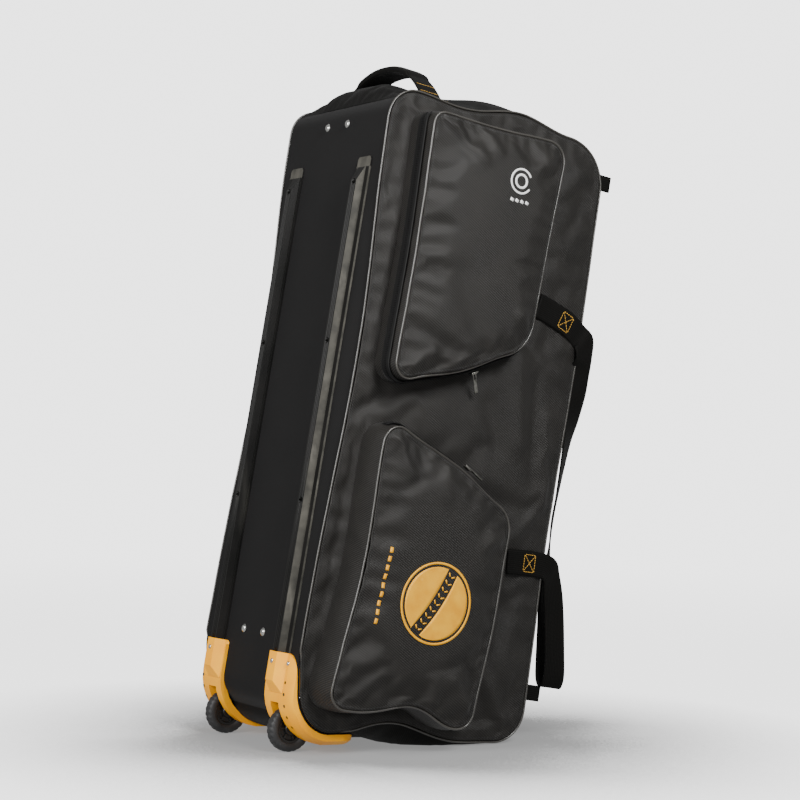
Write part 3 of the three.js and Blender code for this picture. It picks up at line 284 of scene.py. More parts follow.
def addWall(piece, thickness, offset=-1):
    wall = piece.modifiers.new("wall", "SOLIDIFY")
    wall.thickness = thickness / 1000
    wall.offset = offset


def addSmoothing(piece):
    rounds = piece.modifiers.new("rounds", "SUBSURF")
    rounds.levels = rounds.render_levels = 1


def settle(piece, values, held):
    # The cloth is a little longer than its seams, so it finds its own soft folds between them
    group = piece.vertex_groups.new(name="held")
    for vertex in piece.data.vertices:
        group.add([vertex.index], held(toBag @ vertex.co), "REPLACE")
    cloth = piece.modifiers.new("cloth", "CLOTH")
    settings = cloth.settings
    settings.quality = 6
    settings.mass = 0.25
    settings.tension_stiffness = settings.compression_stiffness = 20
    settings.shear_stiffness = 8
    settings.bending_stiffness = values["bending"]
    settings.vertex_group_mass = "held"
    settings.pin_stiffness = 1
    settings.shrink_min = -values["spare"]
    settings.use_pressure = True
    settings.uniform_pressure_force = values["pressure"]
    settings.effector_weights.gravity = 0
    cloth.collision_settings.use_collision = False
    for step in range(1, values["frames"] + 1):
        bpy.context.scene.frame_set(step)
    graph = bpy.context.evaluated_depsgraph_get()
    moved = [vertex.co.copy() for vertex in piece.evaluated_get(graph).data.vertices]
    piece.modifiers.remove(cloth)
    cap = values["cap"] / 1000
    for vertex, co in zip(piece.data.vertices, moved):
        move = co - vertex.co
        vertex.co += move * min(1, cap / max(move.length, 1e-9))
    bpy.context.scene.frame_set(1)
    print("settled", piece.name)


# Outlines with rounded corners and bowed sides, as points with their outward normals
def outlineOf(values, steps, setback=0, base=0, width=None, length=None, inset=None):
    cornerSteps, longSteps, shortSteps = steps
    width = width or values["depth"]
    length = length or values["length"]
    spots = [(Vector((setback + d * width, base + l * length)), r * width) for d, l, r in values["corners"]]
    arcs = []
    for i, (corner, radius) in enumerate(spots):
        back = (spots[i - 1][0] - corner).normalized()
        on = (spots[(i + 1) % 4][0] - corner).normalized()
        half = acos(back.dot(on)) / 2
        centre = corner + (back + on).normalized() * radius / sin(half)
        arcs.append((centre, radius, corner + back * radius / tan(half), corner + on * radius / tan(half)))
    points = []
    for i, (centre, radius, start, end) in enumerate(arcs):
        first = atan2(start.y - centre.y, start.x - centre.x)
        sweep = atan2(end.y - centre.y, end.x - centre.x) - first
        sweep = sweep % (2 * pi) - 2 * pi
        for k in range(cornerSteps):
            angle = first + sweep * k / cornerSteps
            points.append(centre + Vector((cos(angle), sin(angle))) * radius)
        along = arcs[(i + 1) % 4][2] - end
        out = Vector((-along.y, along.x)).normalized()
        bow, skew = values["sides"][i]
        count = longSteps if i % 2 == 0 else shortSteps
        for k in range(count):
            t = k / count
            points.append(end + along * t + out * sin(pi * t) ** 2 * (bow + skew * cos(pi * t)) * width)
    if inset:
        points = [Vector((p.x + inset(p), p.y)) for p in points]
    stations = []
    for i, p in enumerate(points):
        tangent = points[(i + 1) % len(points)] - points[i - 1]
        stations.append((p, Vector((-tangent.y, tangent.x)).normalized()))
    return stations


def patchOf(stations, steps, inset):
    # Rows of points that fill an outline, four runs meeting at the middles of the corners
    half, long, short = steps[0] // 2, steps[0] + steps[1], steps[0] + steps[2]
    inner = [p - n * inset for p, n in stations]
    count = len(inner)
    rows = []
    corner = [inner[half], inner[half + long],
              inner[(half + long + short) % count], inner[(half + 2 * long + short) % count]]
    for i in range(short + 1):
        row = []
        for j in range(long + 1):
            s, t = i / short, j / long
            low, high = inner[(half - i) % count], inner[(half + long + i) % count]
            near, far = inner[half + j], inner[(half + long + short + long - j) % count]
            point = low * (1 - t) + high * t + near * (1 - s) + far * s
            point -= corner[0] * (1 - s) * (1 - t) + corner[1] * (1 - s) * t
            point -= corner[2] * s * t + corner[3] * s * (1 - t)
            row.append(point)
        rows.append(row)
    return rows


def heel(p):
    lower = 1 - smooth(bagShape["heelHeight"] / 2, bagShape["heelHeight"], p.y)
    return bagShape["heelInset"] * lower * (1 - smooth(0, bagShape["heelHeight"], p.x))


bagOutline = outlineOf(bagShape, bagShape["steps"], inset=heel)
stationCount = len(bagOutline)
sideFace = bagShape["halfWidth"] + 0.8

# Side panels
sideCloth = {
    "crown": 12, "seamInset": 2.5, "wall": 2.4, "pucker": 1.1, "puckerLength": 19, "puckerReach": 14,
    "unevenness": 2.2, "creaseGrowth": 1.5,
    "strapEnds": [(0.757, 0.719), (0.838, 0.712), (0.919, 0.702), (0.888, 0.312), (0.802, 0.309)],
    # broad dents and folds: depth share, length share, wide, long, rise as a share of the crown
    "folds": [(0.84, 0.6, 0.07, 0.12, -0.3), (0.9, 0.44, 0.05, 0.1, 0.22),
              (0.8, 0.22, 0.06, 0.06, -0.35), (0.86, 0.1, 0.08, 0.05, 0.3)],
    # narrow folds: from, to, half width and rise in millimetres
    "creases": [
        ((276, 600), (300, 470), 15, 3.2), ((318, 570), (338, 420), 13, -2.6),
        ((352, 520), (368, 380), 10, 2.2),
        ((236, 520), (262, 455), 14, -2.2), ((205, 498), (240, 470), 9, 1.8), ((330, 250), (372, 275), 9, 2.6),
        ((322, 330), (352, 372), 10, 2.4), ((300, 130), (352, 60), 12, 2.4), ((24, 560), (34, 760), 9, 2.2),
        ((20, 180), (28, 420), 8, -2), ((15, 60), (12, 112), 7, -2.5), ((60, 470), (110, 505), 10, 2.5),
        ((20, 470), (60, 500), 9, -2.4), ((310, 860), (352, 900), 12, 2.2), ((330, 800), (358, 852), 10, -2),
        ((40, 22), (96, 34), 9, 2.2), ((120, 12), (190, 26), 9, -2), ((250, 16), (330, 40), 10, 2.2),
        ((44, 922), (110, 932), 8, 2.4), ((160, 936), (240, 934), 8, -1.8)],
    "settle": {"bending": 0.8, "spare": 0.022, "pressure": 0.6, "cap": 6, "frames": 20},
}


def creaseLift(p, creases):
    lift = 0
    for (x0, z0), (x1, z1), wide, rise in creases:
        start, run = Vector((x0, z0)), Vector((x1 - x0, z1 - z0))
        t = (p - start).dot(run) / run.length_squared
        away = (p - start - run * min(1, max(0, t))).length
        lift += sideCloth["creaseGrowth"] * rise * exp(-(away / wide) ** 2)
    return lift


def crownLift(x, z):
    across = min(1, abs(2 * x / bagShape["depth"] - 1))
    along = min(1, abs(2 * z / bagShape["length"] - 1))
    lift = sideCloth["crown"] * (1 - across ** 2.6) * (1 - along ** 4)
    for depth, length, wide, long, rise in sideCloth["folds"]:
        u = (x / bagShape["depth"] - depth) / wide
        v = (z / bagShape["length"] - length) / long
        lift += sideCloth["crown"] * rise * exp(-u * u - v * v)
    return max(0, lift)


def puckerLift(run, away, values, seed):
    # Small gathers that a seam draws into cloth, fading away from it
    reach = values["puckerReach"]
    gather = noise.noise(Vector((run / values["puckerLength"], seed, 0.3)))
    return values["pucker"] * 2 * gather * (away / reach) * exp(1 - away / reach)


def seamTable(stations):
    # Distance round an outline at each station, for the nearest-seam lookups
    table, run = [], 0
    for i, (p, _) in enumerate(stations):
        table.append((p, run))
        run += (stations[(i + 1) % len(stations)][0] - p).length
    tree = BVHTree.FromPolygons(
        [Vector((p.x, p.y, s)) for p, _ in table for s in (-1, 1)],
        [(2 * i, 2 * i + 1, 2 * ((i + 1) % len(table)) + 1, 2 * ((i + 1) % len(table)))
         for i in range(len(table))])
    return table, tree


def seamAt(seams, p):
    table, tree = seams
    at, _, index, away = tree.find_nearest(Vector((p.x, p.y, 0)))
    start, run = table[index]
    return run + (Vector((at.x, at.y)) - start).length, away


bagSeams = seamTable(bagOutline)


def sidePanel(name, hand, node):
    cornerSteps, longSteps, shortSteps = bagShape["steps"]
    rows = patchOf(bagOutline, bagShape["steps"], sideCloth["seamInset"])

    def place(column, row):
        p = rows[column][row]
        run, away = seamAt(bagSeams, p)
        inside = smooth(0, 25, away)
        lift = crownLift(p.x, p.y) + puckerLift(run, away, sideCloth, hand * 3.7)
        mirrored = p if hand < 0 else Vector((p.x, 0.97 * p.y))
        lift += inside * creaseLift(mirrored, sideCloth["creases"])
        lift += inside * sideCloth["unevenness"] * noise.noise(Vector((p.x / 90, p.y / 140, hand * 2.1)))
        return Vector((p.x, hand * (sideFace + lift), p.y)), (p.x, p.y)

    sheet = sheetOf(shortSteps + cornerSteps, longSteps + cornerSteps, place)
    return finishPiece(name, sheet, [sideTwill], [node])


upperPocket = {
    "setback": 41, "base": 514, "width": 243, "length": 410, "depth": 45, "flare": 5, "crown": 7,
    "steps": (12, 44, 28), "wall": 1.6,
    "corners": [(0.004, 0, 0.09), (0, 0.98, 0.066), (0.968, 0.995, 0.125), (0.912, 0.226, 0.24)],
    "sides": [(-0.012, 0), (-0.012, 0), (-0.004, 0), (0.028, 0)],
    "pucker": 1.5, "puckerLength": 17, "puckerReach": 13,
    "creases": [
        ((58, 915), (128, 862), 9, 3), ((80, 921), (104, 884), 7, -3), ((120, 915), (150, 880), 8, 2.4),
        ((262, 905), (226, 872), 10, 2.6), ((272, 880), (236, 856), 8, -2.4), ((52, 530), (96, 572), 10, 3),
        ((92, 524), (112, 556), 8, -2.4), ((140, 540), (150, 590), 10, 2), ((200, 566), (206, 610), 9, -2),
        ((266, 622), (232, 652), 10, 2.6), ((50, 700), (84, 712), 10, 1.8), ((170, 600), (120, 690), 22, -2.6)],
    "zipFrom": 3, "zipTo": 1, "sliderNode": "upper_pocket_slider", "sliderOut": 3, "sliderHangs": True,
    "settle": {"bending": 0.6, "spare": 0.03, "pressure": 1.8, "cap": 8, "frames": 20},
}
lowerPocket = {
    "setback": 22, "base": 38, "width": 258, "length": 429, "depth": 47, "flare": 5, "crown": 7,
    "steps": (12, 44, 28), "wall": 1.6,
    "corners": [(0, 0.019, 0.1), (0.085, 1, 0.093), (1, 0.746, 0.174), (0.938, 0, 0.109)],
    "sides": [(-0.035, 0), (0.023, -0.008), (0.016, 0), (-0.074, -0.05)],
    "pucker": 1.5, "puckerLength": 17, "puckerReach": 13,
    "creases": [
        ((34, 92), (84, 128), 12, 3), ((30, 120), (64, 150), 9, -2.6), ((60, 66), (96, 104), 9, 2.6),
        ((120, 58), (140, 96), 10, -2.2), ((190, 62), (182, 108), 10, 2.4), ((250, 70), (216, 110), 11, 3),
        ((258, 110), (228, 136), 9, -2.4), ((268, 330), (236, 306), 11, 2.6), ((252, 366), (224, 330), 9, -2.4),
        ((60, 440), (90, 392), 10, 2.8), ((96, 446), (112, 410), 8, -2.2), ((150, 412), (150, 366), 12, 1.8)],
    "zipFrom": 1, "zipTo": 3, "sliderNode": "lower_pocket_slider", "sliderOut": 5, "sliderHangs": False,
    "settle": {"bending": 0.6, "spare": 0.03, "pressure": 1.8, "cap": 8, "frames": 20},
}
pockets = {"upper_pocket": upperPocket, "lower_pocket": lowerPocket}
for pocket in pockets.values():
    pocket["outline"] = outlineOf(pocket, pocket["steps"], pocket["setback"], pocket["base"],
                                  pocket["width"], pocket["length"])
    pocket["seams"] = seamTable(pocket["outline"])
    pocket["plane"] = -(sideFace + sideCloth["crown"] + pocket["depth"])


def heldSide(p):
    # Held at the seams, under the pockets' edges and under the ends of the straps
    _, away = seamAt(bagSeams, Vector((p.x, p.z)))
    hold = 1 - smooth(3, 16, away)
    for shape in pockets.values():
        _, away = seamAt(shape["seams"], Vector((p.x, p.z)))
        hold = max(hold, 1 - smooth(6, 22, away)) if p.y < 0 else hold
    for depth, length in sideCloth["strapEnds"]:
        away = hypot(p.x - depth * bagShape["depth"], p.z - length * bagShape["length"])
        hold = max(hold, 1 - smooth(18, 34, away))
    return hold


panels = {}
for hand, side in hands:
    panel = sidePanel(f"side_cloth_{side}", hand, f"side_panel_{side}")
    settle(panel, sideCloth["settle"], heldSide)
    panels[side] = panel
print("side panels made")

# Panels that run round the bag from seam to seam
stripCloth = {
    "seamInset": 2.5, "pucker": 1.0, "puckerLength": 21, "puckerReach": 12, "columns": 44,
    "topRise": 24, "lidRise": 10, "bottomRise": (33, 17), "handleFeet": [(78, 118), (78, 135)],
}
seamSpan = bagShape["halfWidth"] - stripCloth["seamInset"]
leanAngle = radians(bagShape["lean"])
floorLevel = bagShape["wheelHeight"] * cos(leanAngle) - bagShape["wheelSetback"] * sin(leanAngle)
floorLevel -= bagShape["wheelRadius"]


def boardReach(p, normal, along, share):
    lower = bagShape["corners"][0][2] * bagShape["depth"]
    upper = bagShape["length"] - bagShape["corners"][1][2] * bagShape["depth"]
    blendLength = bagShape["boardBlend"]
    ends = smooth(lower - blendLength, lower, p.y) * (1 - smooth(upper, upper + blendLength / 2, p.y))
    flat = 1 - smooth(bagShape["boardFlatHalf"] / seamSpan, 1, share)
    return (p.x - bagShape["boardFace"]) * ends * flat


def topReach(p, normal, along, share):
    edge = smooth(-0.01, 0.1, along)
    return stripCloth["topRise"] * edge * sin(pi * min(1, 0.12 + along * 0.8)) ** 0.7 * (1 - smooth(0.3, 1, share))


def lidReach(p, normal, along, share):
    return stripCloth["lidRise"] * sin(pi * along) ** 0.6 * (1 - share ** 3)


def overFloor(p):
    return p.y * cos(leanAngle) - p.x * sin(leanAngle) - floorLevel


def bottomReach(p, normal, along, share):
    bulge = blend(*stripCloth["bottomRise"], smooth(0.62, 0.9, along))
    bulge = bulge * sin(pi * along) ** 0.5 * (1 - share ** 5)
    toFloor = (overFloor(p) - 1) / -(normal.y * cos(leanAngle) - normal.x * sin(leanAngle))
    return min(bulge, toFloor) if normal.y < -0.3 else bulge


def stripPanel(name, first, last, reach, puckers, material, node):
    columns = stripCloth["columns"]
    run = [bagOutline[i % stationCount] for i in range(first, last + 1)]
    lengths = [0]
    for (a, _), (b, _) in zip(run, run[1:]):
        lengths.append(lengths[-1] + (b - a).length)

    def place(column, row):
        p, normal = run[row]
        share = 2 * column / columns - 1
        # columns crowd towards the seams, where the cloth gathers
        share = 0.75 * share + 0.25 * sin(pi / 2 * share)
        along = row / (len(run) - 1)
        away = (1 - abs(share)) * seamSpan
        gathers = puckerLift(lengths[row], away, stripCloth, 5 + (1 if share > 0 else 0) + first * 0.1)
        lift = reach(p, normal, along, abs(share)) + puckers(p) * gathers
        at = p + normal * lift
        return Vector((at.x, share * seamSpan, at.y)), (share * seamSpan, lengths[row])

    sheet = sheetOf(columns, len(run) - 1, place)
    return finishPiece(name, sheet, [material], [node])


cornerSteps, longSteps, shortSteps = bagShape["steps"]
marks = {"lowerBack": cornerSteps // 2, "upperBack": cornerSteps + longSteps + 7}
marks["upperFront"] = (cornerSteps + longSteps) + (cornerSteps + shortSteps) + cornerSteps // 2
marks["lowerFront"] = marks["upperFront"] + cornerSteps + longSteps
backPanel = stripPanel("back_cloth", marks["lowerBack"], marks["upperBack"], boardReach,
                       lambda p: 0.5, boardTwill, "back_panel")
# The top and bottom panels take the twill painted darker as shade
topPanel = stripPanel("top_cloth", marks["upperBack"], marks["upperFront"], topReach,
                      lambda p: 1.6, endTwillShaded, "top_end_panel")
lidPanel = stripPanel("lid_cloth", marks["upperFront"], marks["lowerFront"], lidReach,
                      lambda p: 1.4, sideTwill, "lid_panel")
bottomPanel = stripPanel("bottom_cloth", marks["lowerFront"], stationCount + marks["lowerBack"], bottomReach,
                         lambda p: 1.2 * smooth(18, 40, overFloor(p)), endTwillShaded, "bottom_end_panel")


def heldStrip(p):
    return 1 - smooth(2, 14, bagShape["halfWidth"] - abs(p.y))


def heldTop(p):
    feet = min(hypot(p.x - x, abs(p.y) - y) for x, y in stripCloth["handleFeet"])
    edge = min(seamGap(p, marks["upperBack"]), seamGap(p, marks["upperFront"]))
    return max(heldStrip(p), 1 - smooth(22, 40, feet), 1 - smooth(2, 12, edge))


def seamGap(p, mark):
    at = bagOutline[mark % stationCount][0]
    return hypot(p.x - at.x, p.z - at.y)


def heldLid(p):
    edge = min(seamGap(p, marks["upperFront"]), seamGap(p, marks["lowerFront"]))
    return max(heldStrip(p), 1 - smooth(2, 12, edge), 0.4)


settle(topPanel, {"bending": 1.2, "spare": 0.02, "pressure": 1.2, "cap": 5, "frames": 16}, heldTop)
settle(lidPanel, {"bending": 1.5, "spare": 0.012, "pressure": 0.6, "cap": 4, "frames": 16}, heldLid)
print("end panels made")

# Wheel wells cut from the cloth, then every panel gets its thickness
wellCut = {"radius": 38.2, "half": 14.7}
cutter = bmesh.new()
for hand in (-1, 1):
    wellAt = Vector((bagShape["wheelSetback"], hand * bagShape["wheelTrack"], bagShape["wheelHeight"]))
    spin = Matrix.Translation(wellAt) @ Matrix.Rotation(pi / 2, 4, "X")
    bmesh.ops.create_cone(cutter, cap_ends=True, segments=48, radius1=wellCut["radius"],
                          radius2=wellCut["radius"], depth=2 * wellCut["half"], matrix=spin)
cutterData = bpy.data.meshes.new("wells")
cutter.to_mesh(cutterData)
cutter.free()
cutterData.transform(toRow)
wells = bpy.data.objects.new("wells", cutterData)
bpy.context.collection.objects.link(wells)


def cutWells(piece):
    cut = piece.modifiers.new("wells", "BOOLEAN")
    cut.operation = "DIFFERENCE"
    cut.solver = "EXACT"
    cut.object = wells


def freeze(piece):
    # Puts what the modifiers make into the mesh itself
    graph = bpy.context.evaluated_depsgraph_get()
    data = bpy.data.meshes.new_from_object(piece.evaluated_get(graph))
    old = piece.data
    piece.modifiers.clear()
    piece.data = data
    data.name = piece.name
    bpy.data.meshes.remove(old)
    data.shade_smooth()
    data.set_sharp_from_angle(angle=radians(40))


for piece in (backPanel, bottomPanel):
    addWall(piece, sideCloth["wall"])
    cutWells(piece)
    freeze(piece)
bpy.data.objects.remove(wells)
for piece in (topPanel, lidPanel, panels["near"], panels["far"]):
    addSmoothing(piece)
    addWall(piece, sideCloth["wall"])
print("wells cut")


# Tracks: a line of points with the way across it, for cords and flat bands
def trackOf(points, acrosses, closed):
    track, run, count = [], 0, len(points)
    for i, point in enumerate(points):
        before = points[i - 1] if closed or i > 0 else points[0]
        after = points[(i + 1) % count] if closed or i < count - 1 else points[-1]
        tangent = (after - before).normalized()
        across = (acrosses[i] - tangent * acrosses[i].dot(tangent)).normalized()
        if i > 0:
            run += (point - points[i - 1]).length
        track.append((point, across, tangent.cross(across), tangent, run))
    if closed:
        point, across, normal, tangent, _ = track[0]
        track.append((point, across, normal, tangent, run + (points[0] - points[-1]).length))
    return track


def cordMesh(track, radius, sides):
    # A round cord whose two ends meet
    def place(column, row):
        point, across, normal, _, run = track[row]
        angle = 2 * pi * column / sides
        at = point + across * radius * cos(angle) + normal * radius * sin(angle)
        return at, (angle * radius, run)

    mesh = sheetOf(sides, len(track) - 1, place, away=track[0][0], seams=True)
    bmesh.ops.recalc_face_normals(mesh, faces=mesh.faces)
    return mesh


def addBand(name, track, width, thickness, material, replaces=(), columns=8):
    def place(column, row):
        point, across, _, _, run = track[row]
        share = 2 * column / columns - 1
        return point + across * share * width / 2, (share * width / 2, run)

    band = sheetOf(columns, len(track) - 1, place, seams=True)
    piece = finishPiece(name, band, [material], replaces)
    addWall(piece, thickness, 0)


def smoothRows(rows, steps):
    # A smooth run through rows of vectors, several at a time
    made = []
    for i in range(len(rows) - 1):
        a, b, c, d = rows[max(0, i - 1)], rows[i], rows[i + 1], rows[min(len(rows) - 1, i + 2)]
        for k in range(steps if i < len(rows) - 2 else steps + 1):
            t = k / steps
            made.append([
                0.5 * (2 * q + (r - p) * t + (2 * p - 5 * q + 4 * r - s) * t * t
                       + (3 * q - p - 3 * r + s) * t ** 3)
                for p, q, r, s in zip(a, b, c, d)])
    return made


# Piping cord round both sides, set in where it runs behind a housing's plate
piping = {
    "radius": 1.65, "sides": 12, "waver": 0.5, "outShare": 0.25,
    "behindPlate": (104, 118), "plateDepth": (70, 110), "setIn": 4.5,
}
acrossBag = Vector((0, 1, 0))
for hand, side in hands:
    points = []
    for i, (p, n) in enumerate(bagOutline):
        waver = piping["waver"] * noise.noise(Vector((i / 5, hand, 2.5)))
        hidden = (1 - smooth(*piping["behindPlate"], p.y)) * (1 - smooth(*piping["plateDepth"], p.x))
        waver -= piping["setIn"] * hidden
        y = hand * (bagShape["halfWidth"] + piping["outShare"] * waver)
        points.append(Vector((p.x + n.x * waver, y, p.y + n.y * waver)))
    track = trackOf(points, [acrossBag] * len(points), True)
    cord = cordMesh(track, piping["radius"], piping["sides"])
    finishPiece(f"piping_cord_{side}", cord, [pipingPale], [f"piping_{side}"])
print("piping made")


def spotOn(track, at):
    # The two rows of a track around a distance along it, and the share between them
    index = 0
    while index < len(track) - 2 and track[index + 1][4] < at:
        index += 1
    a, b = track[index], track[index + 1]
    return a, b, (at - a[4]) / max(1e-6, b[4] - a[4])


stitchForm = {"height": 0.8, "sink": 0.35, "taper": 0.12}  # shares of the thread's thickness and length


# Stitches: short dashes of thread along a track, smaller on top
def stitchMesh(track, stitch, gap, thickness, lift):
    mesh = bmesh.new()
    weave = mesh.loops.layers.uv.new("weave")
    at = gap
    while at + stitch < track[-1][4]:
        a, b, t = spotOn(track, at + stitch / 2)
        point = a[0].lerp(b[0], t) + a[2].lerp(b[2], t) * lift
        axes = Matrix((a[3], a[1], a[2])).transposed().to_4x4()
        size = Matrix.Diagonal((stitch, thickness, thickness * stitchForm["height"], 1))
        place = Matrix.Translation(point) @ axes @ size
        for vertex in bmesh.ops.create_cube(mesh, size=1, matrix=place)["verts"]:
            away = (vertex.co - point).dot(a[3])
            if (vertex.co - point).dot(a[2]) > 0:
                vertex.co -= a[2] * (stitchForm["sink"] * thickness) + a[3] * (stitchForm["taper"] * away)
        at += stitch + gap
    for face in mesh.faces:
        for loop in face.loops:
            loop[weave].uv = (loop.vert.co.x / 1000, loop.vert.co.z / 1000)
    return mesh


def surfaceOf(piece):
    # A lookup on a piece's finished surface, in bag millimetres
    graph = bpy.context.evaluated_depsgraph_get()
    data = piece.evaluated_get(graph).data
    corners = [toBag @ vertex.co for vertex in data.vertices]
    return BVHTree.FromPolygons(corners, [tuple(polygon.vertices) for polygon in data.polygons])


def pressed(surface, point, out, lift):
    # The place on a surface under a point, looking back at it from outside
    hit = surface.ray_cast(point + out * 400, -out)[0]
    return point if hit is None else hit + out * lift


# Pockets: face, gusset, piping, zip and slider
zipParts = {
    "tapeWidth": 22, "tapeThickness": 0.9, "tooth": (1.5, 5.4, 1.5), "toothLift": 0.9,
    "pitch": 2.6, "start": 1.5, "end": 1,
}


def zipPieces(name, track, outSide, replaces):
    # outSide is 1 where the track's own normal points out of the cloth, and -1 where it points in
    addBand(f"{name}_tape", track, zipParts["tapeWidth"], zipParts["tapeThickness"], zipTapeBlack,
            replaces)
    teeth = bmesh.new()
    teeth.loops.layers.uv.new("weave")
    at = zipParts["start"]
    while at < track[-1][4] - zipParts["end"]:
        a, b, t = spotOn(track, at)
        axes = Matrix((a[3], a[1], a[2])).transposed().to_4x4()
        point = a[0].lerp(b[0], t) + a[2] * zipParts["toothLift"] * outSide
        place = Matrix.Translation(point) @ axes @ Matrix.Diagonal((*zipParts["tooth"], 1))
        bmesh.ops.create_cube(teeth, size=1, matrix=place)
        at += zipParts["pitch"]
    finishPiece(f"{name}_teeth", teeth, [zipTapeBlack])


def boxPart(mesh, place, size, rounding):
    made = bmesh.ops.create_cube(mesh, size=1, matrix=place @ Matrix.Diagonal((*size, 1)))
    edges = {edge for vertex in made["verts"] for edge in vertex.link_edges}
    bmesh.ops.bevel(mesh, geom=list(edges), offset=rounding, segments=2, profile=0.5, affect="EDGES", material=-1)


# Boxes of a slider: place and size across, along and out, then rounding
sliderParts = {
    "body": [((0, 0, 2.2), (9, 12, 1.6), 0.6), ((0, -1, 3.6), (6.4, 8, 1.2), 0.5), ((0, 0, 5), (2.2, 9, 1.4), 0.5)],
    "puller": [
        ((-2.3, 5, 0), (1.1, 9, 1.2), 0.4), ((2.3, 5, 0), (1.1, 9, 1.2), 0.4), ((0, 9.4, 0), (5.6, 1.4, 1.2), 0.4),
        ((0, 20, 0), (5.8, 21, 1.6), 0.6), ((0, 21, 0), (3.4, 14, 2.4), 0.5)],
    "pullerOut": 4.6, "hangTurn": 0.3,
}


def sliderPiece(name, at, along, out, hangs, replaces):
    # Cast slider with a bridge, a link and a moulded puller that lies along the zip or hangs from it
    across = along.cross(out).normalized()
    axes = Matrix.Translation(at) @ Matrix((across, along, out)).transposed().to_4x4()
    mesh = bmesh.new()
    lies, faces = (along, out) if not hangs else ((out - across * sliderParts["hangTurn"]).normalized(), across)
    faces = (faces - lies * faces.dot(lies)).normalized()
    sideways = lies.cross(faces)
    start = at + out * sliderParts["pullerOut"]
    tag = Matrix.Translation(start) @ Matrix((sideways, lies, faces)).transposed().to_4x4()
    for frameAt, parts in ((axes, sliderParts["body"]), (tag, sliderParts["puller"])):
        for place, size, rounding in parts:
            boxPart(mesh, frameAt @ Matrix.Translation(place), size, rounding)
    finishPiece(name, mesh, [gunmetal], replaces)


pocketParts = {
    "gussetSteps": 10, "fullness": 2.4, "unevenness": 1.6, "footOverlap": 2.5,
    "pipingWaver": 0.5, "pipingRadius": 1.7, "zipFlare": 0.35, "zipOut": 3.9, "zipDown": 0.42,
}


def pocketPieces(name, shape):
    steps, outline, plane = shape["steps"], shape["outline"], shape["plane"]
    middle = Vector((shape["setback"] + shape["width"] / 2, shape["base"] + shape["length"] / 2))
    centre = Vector((middle.x, -(sideFace + 10), middle.y))
    rows = patchOf(outline, steps, 2)

    def facePlace(column, row):
        p = rows[column][row]
        u = min(1, abs(p.x - middle.x) / (shape["width"] / 2))
        v = min(1, abs(p.y - middle.y) / (shape["length"] / 2))
        run, away = seamAt(shape["seams"], p)
        lift = shape["crown"] * (1 - u ** 2.4) * (1 - v ** 4)
        lift += puckerLift(run, away, shape, shape["base"] * 0.01)
        lift += smooth(0, 18, away) * creaseLift(p, shape["creases"])
        return Vector((p.x, plane - 0.4 - lift, p.y)), (p.x, p.y)

    sheet = sheetOf(steps[0] + steps[2], steps[0] + steps[1], facePlace, away=centre)
    face = finishPiece(f"{name}_face_cloth", sheet, [sideTwill], [f"{name}_face"])

    def heldFace(p):
        _, away = seamAt(shape["seams"], Vector((p.x, p.z)))
        return 1 - smooth(2, 9, away)

    settle(face, shape["settle"], heldFace)
    addSmoothing(face)
    addWall(face, shape["wall"])

    # The gusset runs down from the piping to the side panel, a little fuller in its middle
    levels = pocketParts["gussetSteps"]
    count = len(outline)
    run, total = [], 0
    for i, (p, n) in enumerate(outline):
        run.append(total)
        total += (outline[(i + 1) % count][0] - p).length
    run.append(total)

    def gussetPlace(column, row):
        p, n = outline[row % count]
        share = column / levels
        uneven = noise.noise(Vector((run[row % count] / 26, share * 1.5, shape["base"])))
        full = pocketParts["fullness"] * sin(pi * share) + pocketParts["unevenness"] * sin(pi * share) * uneven
        at = p + n * (shape["flare"] * share + full)
        foot = -(sideFace + crownLift(at.x, at.y) - pocketParts["footOverlap"])
        y = blend(plane + shape["wall"], foot, share)
        return Vector((at.x, y, at.y)), (share * shape["depth"], run[row])

    sheet = sheetOf(levels, count, gussetPlace, away=centre, seams=True)
    gusset = finishPiece(f"{name}_gusset_cloth", sheet, [sideTwill], [f"{name}_gusset"])
    addSmoothing(gusset)
    addWall(gusset, shape["wall"])

    points = []
    for i, (p, n) in enumerate(outline):
        waver = pocketParts["pipingWaver"] * noise.noise(Vector((i / 4, shape["base"], 1.5)))
        points.append(Vector((p.x + n.x * waver, plane + waver, p.y + n.y * waver)))
    track = trackOf(points, [acrossBag] * count, True)
    cord = cordMesh(track, pocketParts["pipingRadius"], piping["sides"])
    finishPiece(f"{name}_piping_cord", cord, [pipingPale], [f"{name}_piping"])

    # Zip on the gusset from the middle of one corner to the middle of another
    starts = [0, steps[0] + steps[1], 2 * steps[0] + steps[1] + steps[2], 3 * steps[0] + 2 * steps[1] + steps[2]]
    first, last = starts[shape["zipFrom"]] + steps[0] // 2, starts[shape["zipTo"]] + steps[0] // 2
    last += count if last < first else 0
    points = []
    for i in range(first, last + 1):
        p, n = outline[i % count]
        at = p + n * (shape["flare"] * pocketParts["zipFlare"] + pocketParts["zipOut"])
        foot = -(sideFace + crownLift(p.x, p.y))
        points.append(Vector((at.x, blend(plane + 2, foot, pocketParts["zipDown"]), at.y)))
    track = trackOf(points, [acrossBag] * len(points), False)
    zipPieces(f"{name}_zip", track, 1, [f"{name}_zip"])
    low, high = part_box(shape["sliderNode"])
    nodeAt = toBag @ ((low + high) / 2)
    best = min(track, key=lambda row: (row[0] - nodeAt).length)
    out = best[2] if best[2].dot(best[0] - centre) > 0 else -best[2]
    spot = best[0] + out * shape["sliderOut"] - acrossBag * shape["sliderOut"]
    sliderPiece(f"{name}_slider_cast", spot, best[3], out, shape["sliderHangs"], [shape["sliderNode"]])
    return face


faces = {}
for name, shape in pockets.items():
    faces[name] = pocketPieces(name, shape)
print("pockets made")


